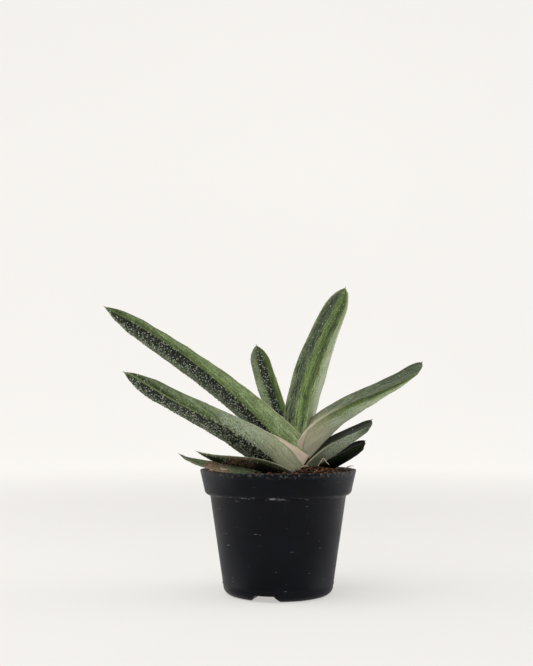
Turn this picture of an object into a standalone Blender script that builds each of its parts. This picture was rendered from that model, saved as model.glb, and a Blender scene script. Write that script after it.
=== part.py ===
"""A gasteria growing in a black plastic nursery pot.

The pot stands on the ground plane, centred on the origin, with +Z up. Nine thick keeled leaves grow
from one short stem that is off the pot's axis, towards +X. The front of the plant faces -Y.
"""

import math
from collections import namedtuple

import bmesh
import bpy
from mathutils import Vector

MM = 0.001
CLEARANCE = 0.3 * MM

# The pot: a thin moulded cone with a stepped collar
POT_HEIGHT = 82 * MM
RIM_RADIUS = 52.5 * MM
COLLAR_FOOT_RADIUS = 49.6 * MM
COLLAR_HEIGHT = 16.8 * MM
COLLAR_CORNER = 4 * MM
BODY_TOP_RADIUS = 45.6 * MM
BODY_FOOT_RADIUS = 36.7 * MM
FOOT_CORNER = 5.5 * MM
WALL = 1.2 * MM
POT_SIDES = 72

# Water channels under the pot's floor, each open to the side and drained by one hole
CHANNEL_COUNT = 3
CHANNEL_FIRST_ANGLE = math.radians(-90 - 14.4)
CHANNEL_HEIGHT = 4.3 * MM
CHANNEL_FOOT_WIDTH = 22 * MM
CHANNEL_TOP_WIDTH = 12 * MM
CHANNEL_START = 15 * MM
DRAIN_RADIUS = 3.5 * MM
DRAIN_FROM_AXIS = 23 * MM
DRAIN_SIDES = 16

# The soil, heaped up round the stem
SOIL_LEVEL = 80.5 * MM
HEAP_HEIGHT = 5.5 * MM
HEAP_SPREAD = 17 * MM
SOIL_RINGS = 7
SOIL_SIDES = 48
CRUMB_HEIGHT = 0.5 * MM
CRUMB_PITCH_X = 0.83 / MM
CRUMB_PITCH_Y = 0.71 / MM
CRUMB_PITCH_SLANT = 0.37 / MM

# The short stem that the leaves and roots grow from
STEM_X = 19 * MM
STEM_Y = 1 * MM
STEM_TOP = 89 * MM
STEM_RADIUS = 5.5 * MM
STEM_LENGTH = 22 * MM
STEM_FOOT_RADIUS = 3.3 * MM
STEM_CROWN_RADIUS = 3.85 * MM
STEM_SHOULDER = 1.5 * MM
STEM_SIDES = 16
ROOT_COUNT = 5
ROOT_FIRST_TURN = math.radians(21.6)
ROOT_LENGTH = 30 * MM
ROOT_START = 16.5 * MM
ROOT_DROP = math.radians(48)
ROOT_TAPER = ((0, 1.8 * MM), (18 * MM, 1.44 * MM), (ROOT_LENGTH, 0.63 * MM))
ROOT_SIDES = 7

# A leaf's cross-section is a triangle: two margins with the inner face between them, and a keel
LEAF_STATIONS = 18
TIP_CROWDING = 1.35
LENGTH_STEPS = 20
MARGIN_ROUND = 1.1 * MM
KEEL_ROUND = 2.2 * MM
LARGEST_ROUND = 1 / 4
SIDE_BULGE = 0.35 * MM
LARGEST_HOLLOW = 1 / 12
CORNER_GROWTH = 1.6
SMOOTH_LEAF = math.radians(35)
SMOOTH_POT = math.radians(40)

Leaf = namedtuple("Leaf", "name curve face_root face_tip widths depths keels channel tip_length point")

# Curves pass through a root, two places on the way and a tip, midway between the margins. Faces are the
# way the inner face looks at the root and at the tip. Widths, depths and keels are those at the same four
# places, and a keel is shifted to one side by that share of half the width. The tip narrows over its
# length, more sharply where point is larger. All lengths in this table are in millimetres.
LEAVES = (
    Leaf(
        name="leaf_tall",
        curve=((8, 6, 92), (17, 12, 139), (30.5, 20, 175), (48.7, 28, 210)),
        face_root=(-0.64, -0.77, 0.2), face_tip=(-0.5, -0.85, 0.1),
        widths=(20, 22.5, 21, 18.5), depths=(13, 14, 11, 6), keels=(0.2, 0.7, 0.7, 0.5),
        channel=1.4, tip_length=17, point=0.5,
    ),
    Leaf(
        name="leaf_back",
        curve=((11, 7, 92), (-1, 16, 122), (-9, 24, 144.5), (-15.7, 30, 169)),
        face_root=(0.4, -0.7, 0.5), face_tip=(0.4, -0.9, 0.1),
        widths=(16, 17.5, 17.5, 14), depths=(8, 9, 7, 4), keels=(0, 0, 0, 0),
        channel=1, tip_length=15, point=0.55,
    ),
    Leaf(
        name="leaf_right",
        curve=((9.7, 1, 93.1), (31.7, 2, 120.5), (67.4, 9, 137.1), (101.3, 18, 155.8)),
        face_root=(-0.65, -0.01, 0.62), face_tip=(-0.35, -0.72, 0.66),
        widths=(21, 17, 13.8, 11.6), depths=(20, 14.2, 9, 5), keels=(0.5, 0.8, 0.6, 0.1),
        channel=1.2, tip_length=14, point=0.45,
    ),
    Leaf(
        name="leaf_upper_left",
        curve=((14, -1, 91), (-25.5, -9, 128.2), (-69.5, -18, 160.4), (-115, -26, 190)),
        face_root=(0.1, 0.93, 0.3), face_tip=(0.1, 0.93, 0.3),
        widths=(24, 20.5, 16.8, 11), depths=(11, 11, 8, 4), keels=(-0.05, -0.28, -0.58, -0.26),
        channel=1.2, tip_length=28, point=0.66,
    ),
    Leaf(
        name="leaf_lower_left",
        curve=((11, -7, 81), (-29.5, -20, 108.2), (-65.5, -31, 127), (-99.5, -41, 146.5)),
        face_root=(0.1, 0.93, 0.3), face_tip=(0.1, 0.93, 0.3),
        widths=(32, 21, 15.8, 12), depths=(12, 12, 9, 4), keels=(0.2, -0.36, -0.38, -0.7),
        channel=1.2, tip_length=27, point=0.68,
    ),
    Leaf(
        name="leaf_short_right",
        curve=((13.6, -5, 82.5), (32.4, -8, 100), (48.1, -5, 107.8), (64.4, 2, 115.9)),
        face_root=(-0.63, -0.28, 0.68), face_tip=(-0.43, -0.43, 0.74),
        widths=(13, 12.3, 12.1, 10), depths=(12.4, 13.5, 10.7, 6), keels=(-0.8, -0.45, -0.4, 0.1),
        channel=0.8, tip_length=8, point=0.45,
    ),
    Leaf(
        name="leaf_low_right",
        curve=((25, 2, 86), (38, 4, 91.8), (49.8, 6, 97.2), (60.3, 8, 101.4)),
        face_root=(-0.3, -0.2, 0.9), face_tip=(-0.3, -0.2, 0.9),
        widths=(14, 15, 14, 11), depths=(10, 10, 8.6, 5.5), keels=(0, 0, 0, 0),
        channel=0.6, tip_length=8, point=0.45,
    ),
    Leaf(
        name="leaf_front_left",
        curve=((9, -12, 79.6), (-15.5, -20, 88.9), (-34.4, -26, 91), (-54, -28, 95.5)),
        face_root=(0.1, 0.2, 1), face_tip=(0.1, 0.3, 1),
        widths=(15, 16, 13, 7), depths=(7, 7, 5, 2.5), keels=(0, 0, 0, 0),
        channel=0.8, tip_length=16, point=0.8,
    ),
    Leaf(
        name="leaf_lowest_left",
        curve=((-10.5, -24, 79), (-29.2, -30, 83.8), (-48.6, -34, 88), (-64, -36, 94.2)),
        face_root=(0.1, -0.55, 0.8), face_tip=(0.1, -0.4, 0.9),
        widths=(11.8, 15, 8.7, 6.1), depths=(3, 3.6, 2.8, 2), keels=(0, 0, 0, 0),
        channel=0.6, tip_length=16, point=0.7,
    ),
)


def finish(name, colour, roughness, metallic=0.0):
    """A plain material in one colour."""
    material = bpy.data.materials.new(name)
    material.use_nodes = True
    shader = material.node_tree.nodes["Principled BSDF"]
    shader.inputs["Base Color"].default_value = (*colour, 1)
    shader.inputs["Roughness"].default_value = roughness
    shader.inputs["Metallic"].default_value = metallic
    return material


def new_object(name, mesh, material=None):
    thing = bpy.data.objects.new(name, mesh)
    bpy.context.scene.collection.objects.link(thing)
    if material:
        mesh.materials.append(material)
    return thing


def mesh_from(name, build):
    """A mesh that build(bm) fills, with its faces turned outwards."""
    bm = bmesh.new()
    build(bm)
    bmesh.ops.recalc_face_normals(bm, faces=bm.faces)
    mesh = bpy.data.meshes.new(name)
    bm.to_mesh(mesh)
    bm.free()
    return mesh


def as_guide(thing):
    """Marks a cutter, which isn't a piece of the plant."""
    thing.hide_render = True
    thing.display_type = "WIRE"
    return thing


def add_boolean(thing, other, operation):
    cut = thing.modifiers.new(operation.lower(), "BOOLEAN")
    cut.operation = operation
    cut.object = other
    cut.solver = "EXACT"


def apply_and_keep_largest(thing):
    """Applies the modifiers, then drops the loose scraps that the cuts left."""
    evaluated = thing.evaluated_get(bpy.context.evaluated_depsgraph_get())
    mesh = bpy.data.meshes.new_from_object(evaluated)
    thing.modifiers.clear()
    bm = bmesh.new()
    bm.from_mesh(mesh)
    unseen = set(bm.verts)
    bodies = []
    while unseen:
        body, edge_of_body = set(), [unseen.pop()]
        while edge_of_body:
            vertex = edge_of_body.pop()
            body.add(vertex)
            for edge in vertex.link_edges:
                other = edge.other_vert(vertex)
                if other in unseen:
                    unseen.discard(other)
                    edge_of_body.append(other)
        bodies.append(body)
    bodies.sort(key=len)
    scraps = [vertex for body in bodies[:-1] for vertex in body]
    bmesh.ops.delete(bm, geom=scraps, context="VERTS")
    bm.to_mesh(mesh)
    bm.free()
    thing.data = mesh


def arc(centre_r, centre_z, radius, start, end, steps):
    """Points of a circular arc in the (r, z) plane; angles in degrees."""
    angles = [math.radians(start + (end - start) * i / steps) for i in range(steps + 1)]
    return [(centre_r + radius * math.cos(a), centre_z + radius * math.sin(a)) for a in angles]


def turned(bm, profile, sides):
    """Spins a closed (r, z) profile, whose first and last points lie on the axis, about Z."""
    rings = []
    for radius, height in profile:
        if radius == 0:
            rings.append([bm.verts.new((0, 0, height))])
            continue
        turns = [2 * math.pi * i / sides for i in range(sides)]
        rings.append([bm.verts.new((radius * math.cos(t), radius * math.sin(t), height)) for t in turns])
    for low, high in zip(rings, rings[1:]):
        for i in range(sides):
            j = (i + 1) % sides
            corners = [low[i % len(low)], low[j % len(low)], high[j % len(high)], high[i % len(high)]]
            bm.faces.new(list(dict.fromkeys(corners)))
    return rings


def outside_profile():
    """The pot filled solid: from the middle of its underside, up the outside and over the lip."""
    collar_foot = POT_HEIGHT - COLLAR_HEIGHT
    foot = arc(BODY_FOOT_RADIUS - FOOT_CORNER, FOOT_CORNER, FOOT_CORNER, -90, 0, 4)
    collar = arc(COLLAR_FOOT_RADIUS - COLLAR_CORNER, collar_foot + COLLAR_CORNER, COLLAR_CORNER, -90, 0, 4)
    lip = arc(RIM_RADIUS - WALL / 2, POT_HEIGHT - WALL / 2, WALL / 2, 0, 180, 4)
    return [(0, 0), *foot, (BODY_TOP_RADIUS, collar_foot), *collar, *lip, (0, POT_HEIGHT - WALL / 2)]


def inside_profile(gap=0.0, fill=None):
    """The pot's hollow, or what fills it up to a height and stays a gap away from its wall."""
    inset = WALL + gap
    collar_foot = POT_HEIGHT - COLLAR_HEIGHT
    foot = arc(BODY_FOOT_RADIUS - FOOT_CORNER, FOOT_CORNER, FOOT_CORNER - inset, -90, 0, 4)
    step = [
        (BODY_TOP_RADIUS - inset, collar_foot + inset),
        (COLLAR_FOOT_RADIUS - inset, collar_foot + COLLAR_CORNER + gap),
    ]
    lip_height = POT_HEIGHT - WALL / 2
    if fill is None:
        above = 2 * POT_HEIGHT
        mouth = [(RIM_RADIUS - inset, lip_height), (RIM_RADIUS - inset, above), (0, above)]
        return [(0, inset), *foot, *step, *mouth]
    risen = (fill - collar_foot - COLLAR_CORNER) / (lip_height - collar_foot - COLLAR_CORNER)
    edge = COLLAR_FOOT_RADIUS + (RIM_RADIUS - COLLAR_FOOT_RADIUS) * risen - inset
    return [(0, inset), *foot, *step, (edge, fill)]


def channel_prism(name, angle, height, foot_width, top_width, start, end, drop):
    """A bar with a trapezoid section that runs outwards along the pot's floor."""
    foot, top = foot_width / 2, top_width / 2
    section = [(-foot, -drop), (foot, -drop), (top, height), (-top, height)]
    out = Vector((math.cos(angle), math.sin(angle), 0))
    across = Vector((-math.sin(angle), math.cos(angle), 0))

    def build(bm):
        ends = [
            [bm.verts.new(out * reach + across * side + Vector((0, 0, z))) for side, z in section]
            for reach in (start, end)
        ]
        bm.faces.new(ends[0])
        bm.faces.new(ends[1])
        for i in range(4):
            j = (i + 1) % 4
            bm.faces.new([ends[0][i], ends[0][j], ends[1][j], ends[1][i]])

    return as_guide(new_object(name, mesh_from(name, build)))


def channel_angles():
    return [CHANNEL_FIRST_ANGLE + 2 * math.pi * i / CHANNEL_COUNT for i in range(CHANNEL_COUNT)]


def channel_roof(index, angle, grow):
    """The raised floor over a water channel; grow makes the hollow that the soil leaves for it."""
    side = WALL + grow
    return channel_prism(
        f"channel_roof_{index}", angle,
        CHANNEL_HEIGHT + side, CHANNEL_FOOT_WIDTH + 2 * side, CHANNEL_TOP_WIDTH + 2 * side,
        CHANNEL_START - side, BODY_FOOT_RADIUS + FOOT_CORNER, 0,
    )


def turned_guide(name, profile, sides):
    """A turned solid that only cuts."""
    return as_guide(new_object(name, mesh_from(name, lambda bm: turned(bm, profile, sides))))


def drain(index, angle):
    """The round hole through a channel's roof."""
    profile = [(0, WALL), (DRAIN_RADIUS, WALL), (DRAIN_RADIUS, 3 * CHANNEL_HEIGHT), (0, 3 * CHANNEL_HEIGHT)]
    hole = turned_guide(f"drain_{index}", profile, DRAIN_SIDES)
    hole.location = (DRAIN_FROM_AXIS * math.cos(angle), DRAIN_FROM_AXIS * math.sin(angle), 0)
    return hole


def make_pot(material):
    hollow = turned_guide("hollow", inside_profile(), POT_SIDES)
    for index, angle in enumerate(channel_angles()):
        add_boolean(hollow, channel_roof(index, angle, 0), "DIFFERENCE")
    pot = new_object("pot", mesh_from("pot", lambda bm: turned(bm, outside_profile(), POT_SIDES)), material)
    add_boolean(pot, hollow, "DIFFERENCE")
    for index, angle in enumerate(channel_angles()):
        channel = channel_prism(
            f"channel_{index}", angle, CHANNEL_HEIGHT, CHANNEL_FOOT_WIDTH, CHANNEL_TOP_WIDTH,
            CHANNEL_START, BODY_FOOT_RADIUS + FOOT_CORNER, WALL,
        )
        add_boolean(pot, channel, "DIFFERENCE")
        add_boolean(pot, drain(index, angle), "DIFFERENCE")
    pot.data.shade_smooth()
    pot.data.set_sharp_from_angle(angle=SMOOTH_POT)
    return pot


def through_four(values, u):
    """The cubic that has these values at u = 0, 1/3, 2/3 and 1."""
    total = 0.0
    for i, value in enumerate(values):
        weight = 1.0
        for j in range(4):
            if j != i:
                weight *= (3 * u - j) / (i - j)
        total += value * weight
    return total


def along(points, u):
    """The place at u on the curve through four points."""
    return Vector([through_four(axis, u) for axis in zip(*points)])


def heading(points, u):
    """The way the curve runs at u."""
    step = 0.01
    return (along(points, u + step) - along(points, u - step)).normalized()


def curve_length(points):
    places = [along(points, i / LENGTH_STEPS) for i in range(LENGTH_STEPS + 1)]
    return sum((after - before).length for before, after in zip(places, places[1:]))


def leaf_section(width, depth, keel, channel, grow):
    """A rounded triangle, as (across, outwards) pairs with the inner face at the top.

    The corners are the two margins and the keel. The inner face is hollow by the channel's depth, and the
    other two sides bulge.
    """
    corner_grow = CORNER_GROWTH * grow
    corners = [
        Vector((-width / 2 - corner_grow, grow)),
        Vector((width / 2 + corner_grow, grow)),
        Vector((keel * width / 2, -depth - corner_grow)),
    ]
    rounds = [min(size, width * LARGEST_ROUND) for size in (MARGIN_ROUND, MARGIN_ROUND, KEEL_ROUND)]
    bulge = min(SIDE_BULGE, width * LARGEST_HOLLOW)
    hollows = [min(channel, width * LARGEST_HOLLOW), -bulge, -bulge]
    points = []
    for i, corner in enumerate(corners):
        before, after = corners[i - 1], corners[(i + 1) % 3]
        run = (after - corner).normalized()
        outwards = Vector((-run.y, run.x))
        start = corner + (before - corner).normalized() * rounds[i]
        end = corner + run * rounds[i]
        far = after - run * rounds[(i + 1) % 3]
        points += [start, (start + end + 2 * corner) / 4, end, (end + far) / 2 - outwards * hollows[i]]
    return points


def leaf_ring(leaf, curve, cap_start, u, grow):
    """The places of one cross-section of a leaf, at u on its curve."""
    cap = max(0.0, (u - cap_start) / (1 - cap_start))
    taper = (1 - cap * cap) ** leaf.point
    tangent = heading(curve, u)
    face = Vector(leaf.face_root).lerp(Vector(leaf.face_tip), u)
    face = (face - tangent * face.dot(tangent)).normalized()
    across = tangent.cross(face)
    centre = along(curve, u)
    if u == 0:
        centre -= tangent * grow
    width = through_four(leaf.widths, u) * MM * taper
    depth = through_four(leaf.depths, u) * MM * taper
    keel = through_four(leaf.keels, u)
    section = leaf_section(width, depth, keel, leaf.channel * MM * taper, grow)
    return [centre + across * point.x + face * point.y for point in section]


def leaf_mesh(leaf, grow=0.0):
    """The leaf's skin: rounded triangles lofted along its curve and closed at the root and the tip."""
    curve = [Vector(place) * MM for place in leaf.curve]
    cap_start = 1 - leaf.tip_length * MM / curve_length(curve)

    def build(bm):
        rings = []
        for i in range(LEAF_STATIONS):
            u = 1 - (1 - i / LEAF_STATIONS) ** TIP_CROWDING
            rings.append([bm.verts.new(place) for place in leaf_ring(leaf, curve, cap_start, u, grow)])
        tip_point = bm.verts.new(curve[3] + heading(curve, 1) * grow)
        bm.faces.new(rings[0])
        for low, high in zip(rings, rings[1:]):
            for j in range(len(low)):
                k = (j + 1) % len(low)
                bm.faces.new([low[j], low[k], high[k], high[j]])
        last = rings[-1]
        for j in range(len(last)):
            bm.faces.new([last[j], last[(j + 1) % len(last)], tip_point])
        bmesh.ops.triangulate(bm, faces=bm.faces)

    return mesh_from(leaf.name, build)


def make_leaves(material, cutters):
    """The leaves, inner ones first. Each is cut back from those inside it, so that its base clasps them."""
    for leaf in LEAVES:
        blade = new_object(leaf.name, leaf_mesh(leaf), material)
        for cutter in cutters:
            add_boolean(blade, cutter, "DIFFERENCE")
        apply_and_keep_largest(blade)
        blade.data.shade_smooth()
        blade.data.set_sharp_from_angle(angle=SMOOTH_LEAF)
        cutters.append(as_guide(new_object(leaf.name + "_room", leaf_mesh(leaf, CLEARANCE))))


def stem_mesh(grow):
    """A short stem that narrows downwards into a few thick roots."""
    foot = STEM_TOP - STEM_LENGTH
    profile = [
        (0, foot - grow),
        (STEM_FOOT_RADIUS + grow, foot - grow),
        (STEM_RADIUS + grow, foot + STEM_LENGTH / 2),
        (STEM_RADIUS + grow, STEM_TOP - STEM_SHOULDER),
        (STEM_CROWN_RADIUS + grow, STEM_TOP + grow),
        (0, STEM_TOP + grow),
    ]
    return mesh_from("stem", lambda bm: turned(bm, profile, STEM_SIDES))


def root_mesh(turn, grow):
    """One root as a slim cone from inside the stem's foot, out and down."""
    start = Vector((0, 0, STEM_TOP - ROOT_START))
    level = math.cos(ROOT_DROP)
    way = Vector((math.cos(turn) * level, math.sin(turn) * level, -math.sin(ROOT_DROP)))
    side = way.cross(Vector((0, 0, 1))).normalized()
    up = side.cross(way)
    spokes = [2 * math.pi * i / ROOT_SIDES for i in range(ROOT_SIDES)]
    rays = [side * math.cos(spoke) + up * math.sin(spoke) for spoke in spokes]

    def build(bm):
        rings = []
        for reach, radius in ROOT_TAPER:
            centre = start + way * (reach + (grow if reach == ROOT_LENGTH else 0))
            rings.append([bm.verts.new(centre + ray * (radius + grow)) for ray in rays])
        bm.faces.new(rings[0])
        bm.faces.new(rings[-1])
        for low, high in zip(rings, rings[1:]):
            for i in range(ROOT_SIDES):
                j = (i + 1) % ROOT_SIDES
                bm.faces.new([low[i], low[j], high[j], high[i]])

    return mesh_from("root", build)


def make_stem(material, name, grow):
    stem = new_object(name, stem_mesh(grow), material)
    stem.location = (STEM_X, STEM_Y, 0)
    for i in range(ROOT_COUNT):
        turn = ROOT_FIRST_TURN + 2 * math.pi * i / ROOT_COUNT
        root = as_guide(new_object(f"{name}_root_{i}", root_mesh(turn, grow)))
        root.location = stem.location
        add_boolean(stem, root, "UNION")
    return stem


def soil_height(x, y):
    """The height of the soil's surface: level, heaped round the stem, with coarse crumbs."""
    off = math.hypot(x - STEM_X, y - STEM_Y)
    heap = HEAP_HEIGHT * math.exp(-((off / HEAP_SPREAD) ** 2))
    crumbs = math.sin(x * CRUMB_PITCH_X) * math.cos(y * CRUMB_PITCH_Y)
    slant = math.sin((x - 2 * y) * CRUMB_PITCH_SLANT)
    return SOIL_LEVEL + heap + CRUMB_HEIGHT * (crumbs + slant)


def make_soil(material, cutters):
    """The soil that fills the pot, with hollows for all that stands in it."""
    wall = inside_profile(CLEARANCE, SOIL_LEVEL - CRUMB_HEIGHT)
    top_radius = wall[-1][0]
    profile = wall + [(top_radius * (1 - i / SOIL_RINGS), SOIL_LEVEL) for i in range(1, SOIL_RINGS + 1)]

    def build(bm):
        turned(bm, profile, SOIL_SIDES)
        for vertex in bm.verts:
            if vertex.co.z > SOIL_LEVEL - CRUMB_HEIGHT / 2:
                vertex.co.z = soil_height(vertex.co.x, vertex.co.y)
        bmesh.ops.triangulate(bm, faces=bm.faces)

    soil = new_object("soil", mesh_from("soil", build), material)
    for index, angle in enumerate(channel_angles()):
        add_boolean(soil, channel_roof(index, angle, CLEARANCE), "DIFFERENCE")
    for cutter in cutters:
        add_boolean(soil, cutter, "DIFFERENCE")
    apply_and_keep_largest(soil)
    return soil


def main():
    for thing in list(bpy.data.objects):
        bpy.data.objects.remove(thing)
    plastic = finish("pot_plastic", (0.012, 0.013, 0.015), 0.45)
    earth = finish("soil_earth", (0.06, 0.03, 0.015), 0.95)
    leaf_skin = finish("leaf_skin", (0.12, 0.2, 0.07), 0.5)
    stem_skin = finish("stem_skin", (0.45, 0.36, 0.26), 0.7)
    make_pot(plastic)
    make_stem(stem_skin, "stem", 0)
    stem_room = as_guide(make_stem(None, "stem_room", CLEARANCE))
    cutters = [stem_room]
    make_leaves(leaf_skin, cutters)
    make_soil(earth, cutters)


main()
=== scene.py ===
"""The looks of a gasteria in a black nursery pot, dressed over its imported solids.

The leaves and the dry scales are in millimetres and all else is in metres. +Z is up and the front faces -Y.
"""

import math
from collections import namedtuple

import bmesh
import bpy
import numpy as np
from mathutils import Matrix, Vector


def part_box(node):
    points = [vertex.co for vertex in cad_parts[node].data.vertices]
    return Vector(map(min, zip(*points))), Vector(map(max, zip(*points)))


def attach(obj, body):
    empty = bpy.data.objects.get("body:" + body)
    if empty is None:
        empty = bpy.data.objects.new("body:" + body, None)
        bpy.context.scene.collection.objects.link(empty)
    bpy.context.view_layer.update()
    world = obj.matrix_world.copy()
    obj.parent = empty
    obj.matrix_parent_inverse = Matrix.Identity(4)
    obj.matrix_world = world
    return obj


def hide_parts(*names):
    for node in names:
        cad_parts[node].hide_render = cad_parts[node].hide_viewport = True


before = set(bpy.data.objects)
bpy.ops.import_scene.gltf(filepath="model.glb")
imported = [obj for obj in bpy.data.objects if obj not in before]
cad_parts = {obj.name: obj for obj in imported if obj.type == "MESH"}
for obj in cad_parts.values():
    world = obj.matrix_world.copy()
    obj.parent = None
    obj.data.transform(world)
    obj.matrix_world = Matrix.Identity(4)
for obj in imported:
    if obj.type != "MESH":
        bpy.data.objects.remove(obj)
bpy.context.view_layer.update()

bl_info = {
    "name": "Gasteria in a Pot",
    "version": (1, 0, 0),
    "blender": (4, 5, 0),
    "location": "View3D > Sidebar > Gasteria",
    "description": "Builds the leaves, soil, pot and studio of a potted gasteria",
    "category": "Object",
}

MM = 0.001

# The pot: a thin moulded cone with a stepped collar
POT_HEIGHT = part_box("pot")[1].z
RIM_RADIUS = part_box("pot")[1].x
COLLAR_FOOT_RADIUS = 49.6 * MM
COLLAR_HEIGHT = 16.8 * MM
COLLAR_CORNER = 4 * MM
COLLAR_FOOT = POT_HEIGHT - COLLAR_HEIGHT
BODY_TOP_RADIUS = 45.6 * MM
BODY_FOOT_RADIUS = 36.7 * MM
FOOT_CORNER = 5.5 * MM
WALL = 1.2 * MM
FOOT_RING_HEIGHT = 7.4 * MM
FOOT_RING_REACH = 0.22 * MM
CHANNEL_COUNT = 3
CHANNEL_FIRST_ANGLE = math.radians(-90 - 14.4)
CHANNEL_HEIGHT = 4.3 * MM
CHANNEL_FOOT_WIDTH = 22 * MM
CHANNEL_TOP_WIDTH = 12 * MM
CHANNEL_START = 15 * MM
DRAIN_RADIUS = 3.5 * MM
DRAIN_FROM_AXIS = 23 * MM

# The soil, heaped up round the stem
SOIL_GAP = 0.3 * MM
SOIL_LEVEL = POT_HEIGHT - 2.1 * MM
HEAP_HEIGHT = 5.5 * MM
HEAP_SPREAD = 17 * MM
STEM_X, STEM_Y = 19 * MM, 1 * MM

# The bark: loose chips, a low heap of them at the front, and crumbs on the rim
CHIPS_FROM_WALL = 1.6 * MM
BARK_HEAP_X, BARK_HEAP_Y = 28 * MM, -26 * MM
BARK_HEAP_REACH_X, BARK_HEAP_REACH_Y = 17 * MM, 10 * MM
BARK_HEAP_LIFT = 3.6 * MM
BARK_HEAP_FROM_WALL = 2.2 * MM
CHIPS_FOR_ONE_IN_HEAP = 5
RIM_CRUMBS = 130

# A leaf's cross-section is a rounded triangle: two margins with the inner face between them, and a keel
MARGIN_ROUND = 1.1
KEEL_ROUND = 2.2
SIDE_BULGE = 0.35
CORNER_STEPS = 6
SIDE_STEPS = 14
LEFT_MARGIN = CORNER_STEPS // 2
RIGHT_MARGIN = LEFT_MARGIN + CORNER_STEPS + SIDE_STEPS
KEEL = RIGHT_MARGIN + CORNER_STEPS + SIDE_STEPS
NIB_LENGTH = 1.6
NIB_RADIUS = 0.45
RING_CROWDING = 1.35
WAVER = 0.012
SWELL_HEIGHT = 0.12
FURROW_HEIGHT = 0.06

# A tubercle is a low dome, its heights and shoulder given as shares of its radius
DOME_SPOKES = 6
DOME_SUNK = 0.12
SHOULDER_REACH = 0.72
SHOULDER_HEIGHT = 0.33
DOME_HEIGHT = 0.48

# The smallest step that a soft rise may have
TINY = 1e-9

# The camera stands in front of the pot, a little above its rim, and looks up slightly
CAMERA_DISTANCE = 0.66
CAMERA_OVER_RIM = 38 * MM
CAMERA_TILT = math.radians(90 + 4.691)
CAMERA_TURN = math.radians(0.679)
SENSOR_WIDTH = 36

Shape = namedtuple("Shape", "curve face_root face_tip widths depths keels channel tip_length point")

# The same curves, faces and sizes as the solids have, but for a more pointed tip on leaf_tall
SHAPES = {
    "leaf_tall": Shape(
        curve=((8, 6, 92), (17, 12, 139), (30.5, 20, 175), (48.7, 28, 210)),
        face_root=(-0.64, -0.77, 0.2), face_tip=(-0.5, -0.85, 0.1),
        widths=(20, 22.5, 21, 18.5), depths=(13, 14, 11, 6), keels=(0.2, 0.7, 0.7, 0.5),
        channel=1.4, tip_length=22, point=0.62,
    ),
    "leaf_back": Shape(
        curve=((11, 7, 92), (-1, 16, 122), (-9, 24, 144.5), (-15.7, 30, 169)),
        face_root=(0.4, -0.7, 0.5), face_tip=(0.4, -0.9, 0.1),
        widths=(16, 17.5, 17.5, 14), depths=(8, 9, 7, 4), keels=(0, 0, 0, 0),
        channel=1, tip_length=15, point=0.55,
    ),
    "leaf_right": Shape(
        curve=((9.7, 1, 93.1), (31.7, 2, 120.5), (67.4, 9, 137.1), (101.3, 18, 155.8)),
        face_root=(-0.65, -0.01, 0.62), face_tip=(-0.35, -0.72, 0.66),
        widths=(21, 17, 13.8, 11.6), depths=(20, 14.2, 9, 5), keels=(0.5, 0.8, 0.6, 0.1),
        channel=1.2, tip_length=14, point=0.45,
    ),
    "leaf_upper_left": Shape(
        curve=((14, -1, 91), (-25.5, -9, 128.2), (-69.5, -18, 160.4), (-115, -26, 190)),
        face_root=(0.1, 0.93, 0.3), face_tip=(0.1, 0.93, 0.3),
        widths=(24, 20.5, 16.8, 11), depths=(11, 11, 8, 4), keels=(-0.05, -0.28, -0.58, -0.26),
        channel=1.2, tip_length=28, point=0.66,
    ),
    "leaf_lower_left": Shape(
        curve=((11, -7, 81), (-29.5, -20, 108.2), (-65.5, -31, 127), (-99.5, -41, 146.5)),
        face_root=(0.1, 0.93, 0.3), face_tip=(0.1, 0.93, 0.3),
        widths=(32, 21, 15.8, 12), depths=(12, 12, 9, 4), keels=(0.2, -0.36, -0.38, -0.7),
        channel=1.2, tip_length=27, point=0.68,
    ),
    "leaf_short_right": Shape(
        curve=((13.6, -5, 82.5), (32.4, -8, 100), (48.1, -5, 107.8), (64.4, 2, 115.9)),
        face_root=(-0.63, -0.28, 0.68), face_tip=(-0.43, -0.43, 0.74),
        widths=(13, 12.3, 12.1, 10), depths=(12.4, 13.5, 10.7, 6), keels=(-0.8, -0.45, -0.4, 0.1),
        channel=0.8, tip_length=8, point=0.45,
    ),
    "leaf_low_right": Shape(
        curve=((25, 2, 86), (38, 4, 91.8), (49.8, 6, 97.2), (60.3, 8, 101.4)),
        face_root=(-0.3, -0.2, 0.9), face_tip=(-0.3, -0.2, 0.9),
        widths=(14, 15, 14, 11), depths=(10, 10, 8.6, 5.5), keels=(0, 0, 0, 0),
        channel=0.6, tip_length=8, point=0.45,
    ),
    "leaf_front_left": Shape(
        curve=((9, -12, 79.6), (-15.5, -20, 88.9), (-34.4, -26, 91), (-54, -28, 95.5)),
        face_root=(0.1, 0.2, 1), face_tip=(0.1, 0.3, 1),
        widths=(15, 16, 13, 7), depths=(7, 7, 5, 2.5), keels=(0, 0, 0, 0),
        channel=0.8, tip_length=16, point=0.8,
    ),
    "leaf_lowest_left": Shape(
        curve=((-10.5, -24, 79), (-29.2, -30, 83.8), (-48.6, -34, 88), (-64, -36, 94.2)),
        face_root=(0.1, -0.55, 0.8), face_tip=(0.1, -0.4, 0.9),
        widths=(11.8, 15, 8.7, 6.1), depths=(3, 3.6, 2.8, 2), keels=(0, 0, 0, 0),
        channel=0.6, tip_length=16, point=0.7,
    ),
}

Finish = namedtuple(
    "Finish",
    "inner right left ends tip bleach flange line dashes frost withered ridge",
    defaults=((0, 0), (0.4, 1), (0, 0), (0, 0, 0), (0.5, 0), 0, (0, 0, 0, 0), (0, 0, 0), 0),
)

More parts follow.
